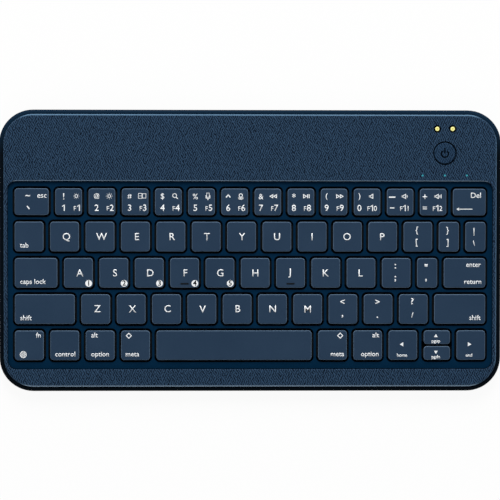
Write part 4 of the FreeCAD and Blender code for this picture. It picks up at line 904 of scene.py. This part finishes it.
def makeFlatSheet(level):
    # the CAD sheet, with its holes, cut off at the feet of the domes
    sheet = bpy.data.objects.new("domeSheet", frame["nodes"]["dome_sheet"].data.copy())
    bpy.context.collection.objects.link(sheet)
    selectOnly(sheet)
    bpy.ops.object.mode_set(mode="EDIT")
    bpy.ops.mesh.select_all(action="SELECT")
    bpy.ops.mesh.remove_doubles(threshold=dome["weld"] * mm)
    clearSelection()
    side = dome["cutter"] * mm
    bpy.ops.mesh.primitive_cube_add(size=side, location=(0, 0, level - dome["skim"] * mm + side / 2))
    cutter = bpy.context.object
    applyModifier(sheet, "BOOLEAN", operation="DIFFERENCE", solver="EXACT", object=cutter)
    bpy.data.objects.remove(cutter)
    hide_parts("dome_sheet")
    finishSilicone(sheet)


def makeDomes(node, keys, level, top):
    shells = []
    for key in keys:
        x, y, half = spots[key]
        clearSelection()
        bpy.ops.mesh.primitive_cone_add(
            vertices=dome["sides"], radius1=dome["foot"] * mm, radius2=dome["head"] * mm,
            depth=top - level, location=(x * mm, y * mm, (level + top) / 2))
        shell = bpy.context.object
        bpy.ops.object.transform_apply(location=True, rotation=True, scale=True)
        bpy.ops.object.mode_set(mode="EDIT")
        pick(shell, "faces", lambda face: face.normal.z < downward)
        bpy.ops.mesh.delete(type="FACE")
        pick(shell, "edges", lambda edge: min(v.co.z for v in edge.verts) > top - hair)
        bpy.ops.mesh.bevel(offset=dome["round"] * mm, segments=dome["roundSteps"], affect="EDGES")
        clearSelection()
        shells.append(shell)
    first, *rest = node.split("_")
    domes = joinPieces(first + "".join(word.capitalize() for word in rest) + "Domes", shells)
    applyModifier(domes, "SOLIDIFY", thickness=dome["wall"] * mm, offset=-1.0)
    finishSilicone(domes)
    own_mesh(domes)


sheetLow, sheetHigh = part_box("dome_sheet")
sheetTop = sheetLow.z + dome["sheet"] * mm
makeFlatSheet(sheetTop)
for node, keys in domeKeys.items():
    makeDomes(node, keys, sheetTop, sheetHigh.z)
print("domes moulded under", len(domeKeys), "keys or groups")


# pale floor, soft light and the camera straight above

studio = {"floor": 3.0, "floorDrop": 0.2, "floorColour": "f4f4f3", "floorWhite": 0.93,
          "horizon": 1.25, "overhead": 0.05, "fade": {1: 0.4, 2: 0.8},  # the world's light, low and high
          "backLamp": 30.0, "backLampAt": (0.0, 1.5, 1.0), "lampSize": 0.9}
view = {"lens": 120.0, "sensor": 36, "near": 0.01, "x": -0.35, "y": 0.34, "width": 240.57, "level": 6.3,
        "roll": 0.05, "tilt": 1.3, "lean": 1.1}
white = (1, 1, 1, 1)


def makeFloor():
    clearSelection()
    bpy.ops.mesh.primitive_plane_add(size=studio["floor"], location=(0, 0, -studio["floorDrop"] * mm))
    floor = bpy.context.object
    floor.name = "floor"
    # matt paper roll: off-white, and white where it is seen or mirrored
    material, tree = newMaterial("paleStudioPaper")
    path = addNode(tree, "ShaderNodeLightPath").outputs
    seen = addNode(tree, "ShaderNodeMath", {
        0: path["Is Camera Ray"], 1: path["Is Glossy Ray"]}, operation="MAXIMUM").outputs[0]
    share = addNode(tree, "ShaderNodeMath", {0: seen, 1: studio["floorWhite"]}, operation="MULTIPLY").outputs[0]
    paper = addNode(tree, "ShaderNodeBsdfDiffuse", {"Color": linearColour(studio["floorColour"])}).outputs[0]
    glow = addNode(tree, "ShaderNodeEmission", {"Color": white, "Strength": 1.0}).outputs[0]
    mixed = addNode(tree, "ShaderNodeMixShader", {0: share, 1: paper, 2: glow}).outputs[0]
    addNode(tree, "ShaderNodeOutputMaterial", {"Surface": mixed})
    floor.data.materials.append(material)


def makeLight():
    world = bpy.data.worlds.new("softStudio")
    bpy.context.scene.world = world
    world.use_nodes = True
    tree = world.node_tree
    tree.nodes.clear()
    path = addNode(tree, "ShaderNodeLightPath").outputs
    sky = addNode(tree, "ShaderNodeTexCoord").outputs["Generated"]
    height = addNode(tree, "ShaderNodeSeparateXYZ", {0: sky}).outputs["Z"]
    level = addNode(tree, "ShaderNodeMapRange", {
        "Value": height, **studio["fade"], 3: studio["horizon"], 4: studio["overhead"]},
        interpolation_type="SMOOTHSTEP").outputs[0]
    strength = addNode(tree, "ShaderNodeMath", {
        0: level, 1: path["Is Camera Ray"]}, operation="MAXIMUM").outputs[0]
    glow = addNode(tree, "ShaderNodeBackground", {"Color": white, "Strength": strength}).outputs[0]
    addNode(tree, "ShaderNodeOutputWorld", {"Surface": glow})
    clearSelection()
    x, y, z = studio["backLampAt"]
    bpy.ops.object.light_add(type="AREA", location=(x, y, z), rotation=(-math.atan2(y, z), 0, 0))
    lamp = bpy.context.object
    lamp.name = "backLamp"
    lamp.data.energy = studio["backLamp"]
    lamp.data.size = studio["lampSize"]


def makeCamera():
    reach = view["width"] / 2 * mm / (view["sensor"] / 2 / view["lens"])
    tilt = math.radians(view["tilt"])  # towards the back, whose rows look a little wider
    lean = math.radians(view["lean"])  # towards the left, whose rows look a little deeper
    clearSelection()
    bpy.ops.object.camera_add(
        location=(view["x"] * mm - reach * math.sin(lean), view["y"] * mm + reach * math.sin(tilt),
                  view["level"] * mm + reach * math.cos(tilt) * math.cos(lean)),
        rotation=(-tilt, -lean, math.radians(view["roll"])))
    camera = bpy.context.object
    camera.data.lens = view["lens"]
    camera.data.sensor_width = view["sensor"]
    camera.data.clip_start = view["near"]
    bpy.context.scene.camera = camera


makeFloor()
makeLight()
makeCamera()
bpy.context.scene.view_settings.view_transform = "Standard"
print("studio set")
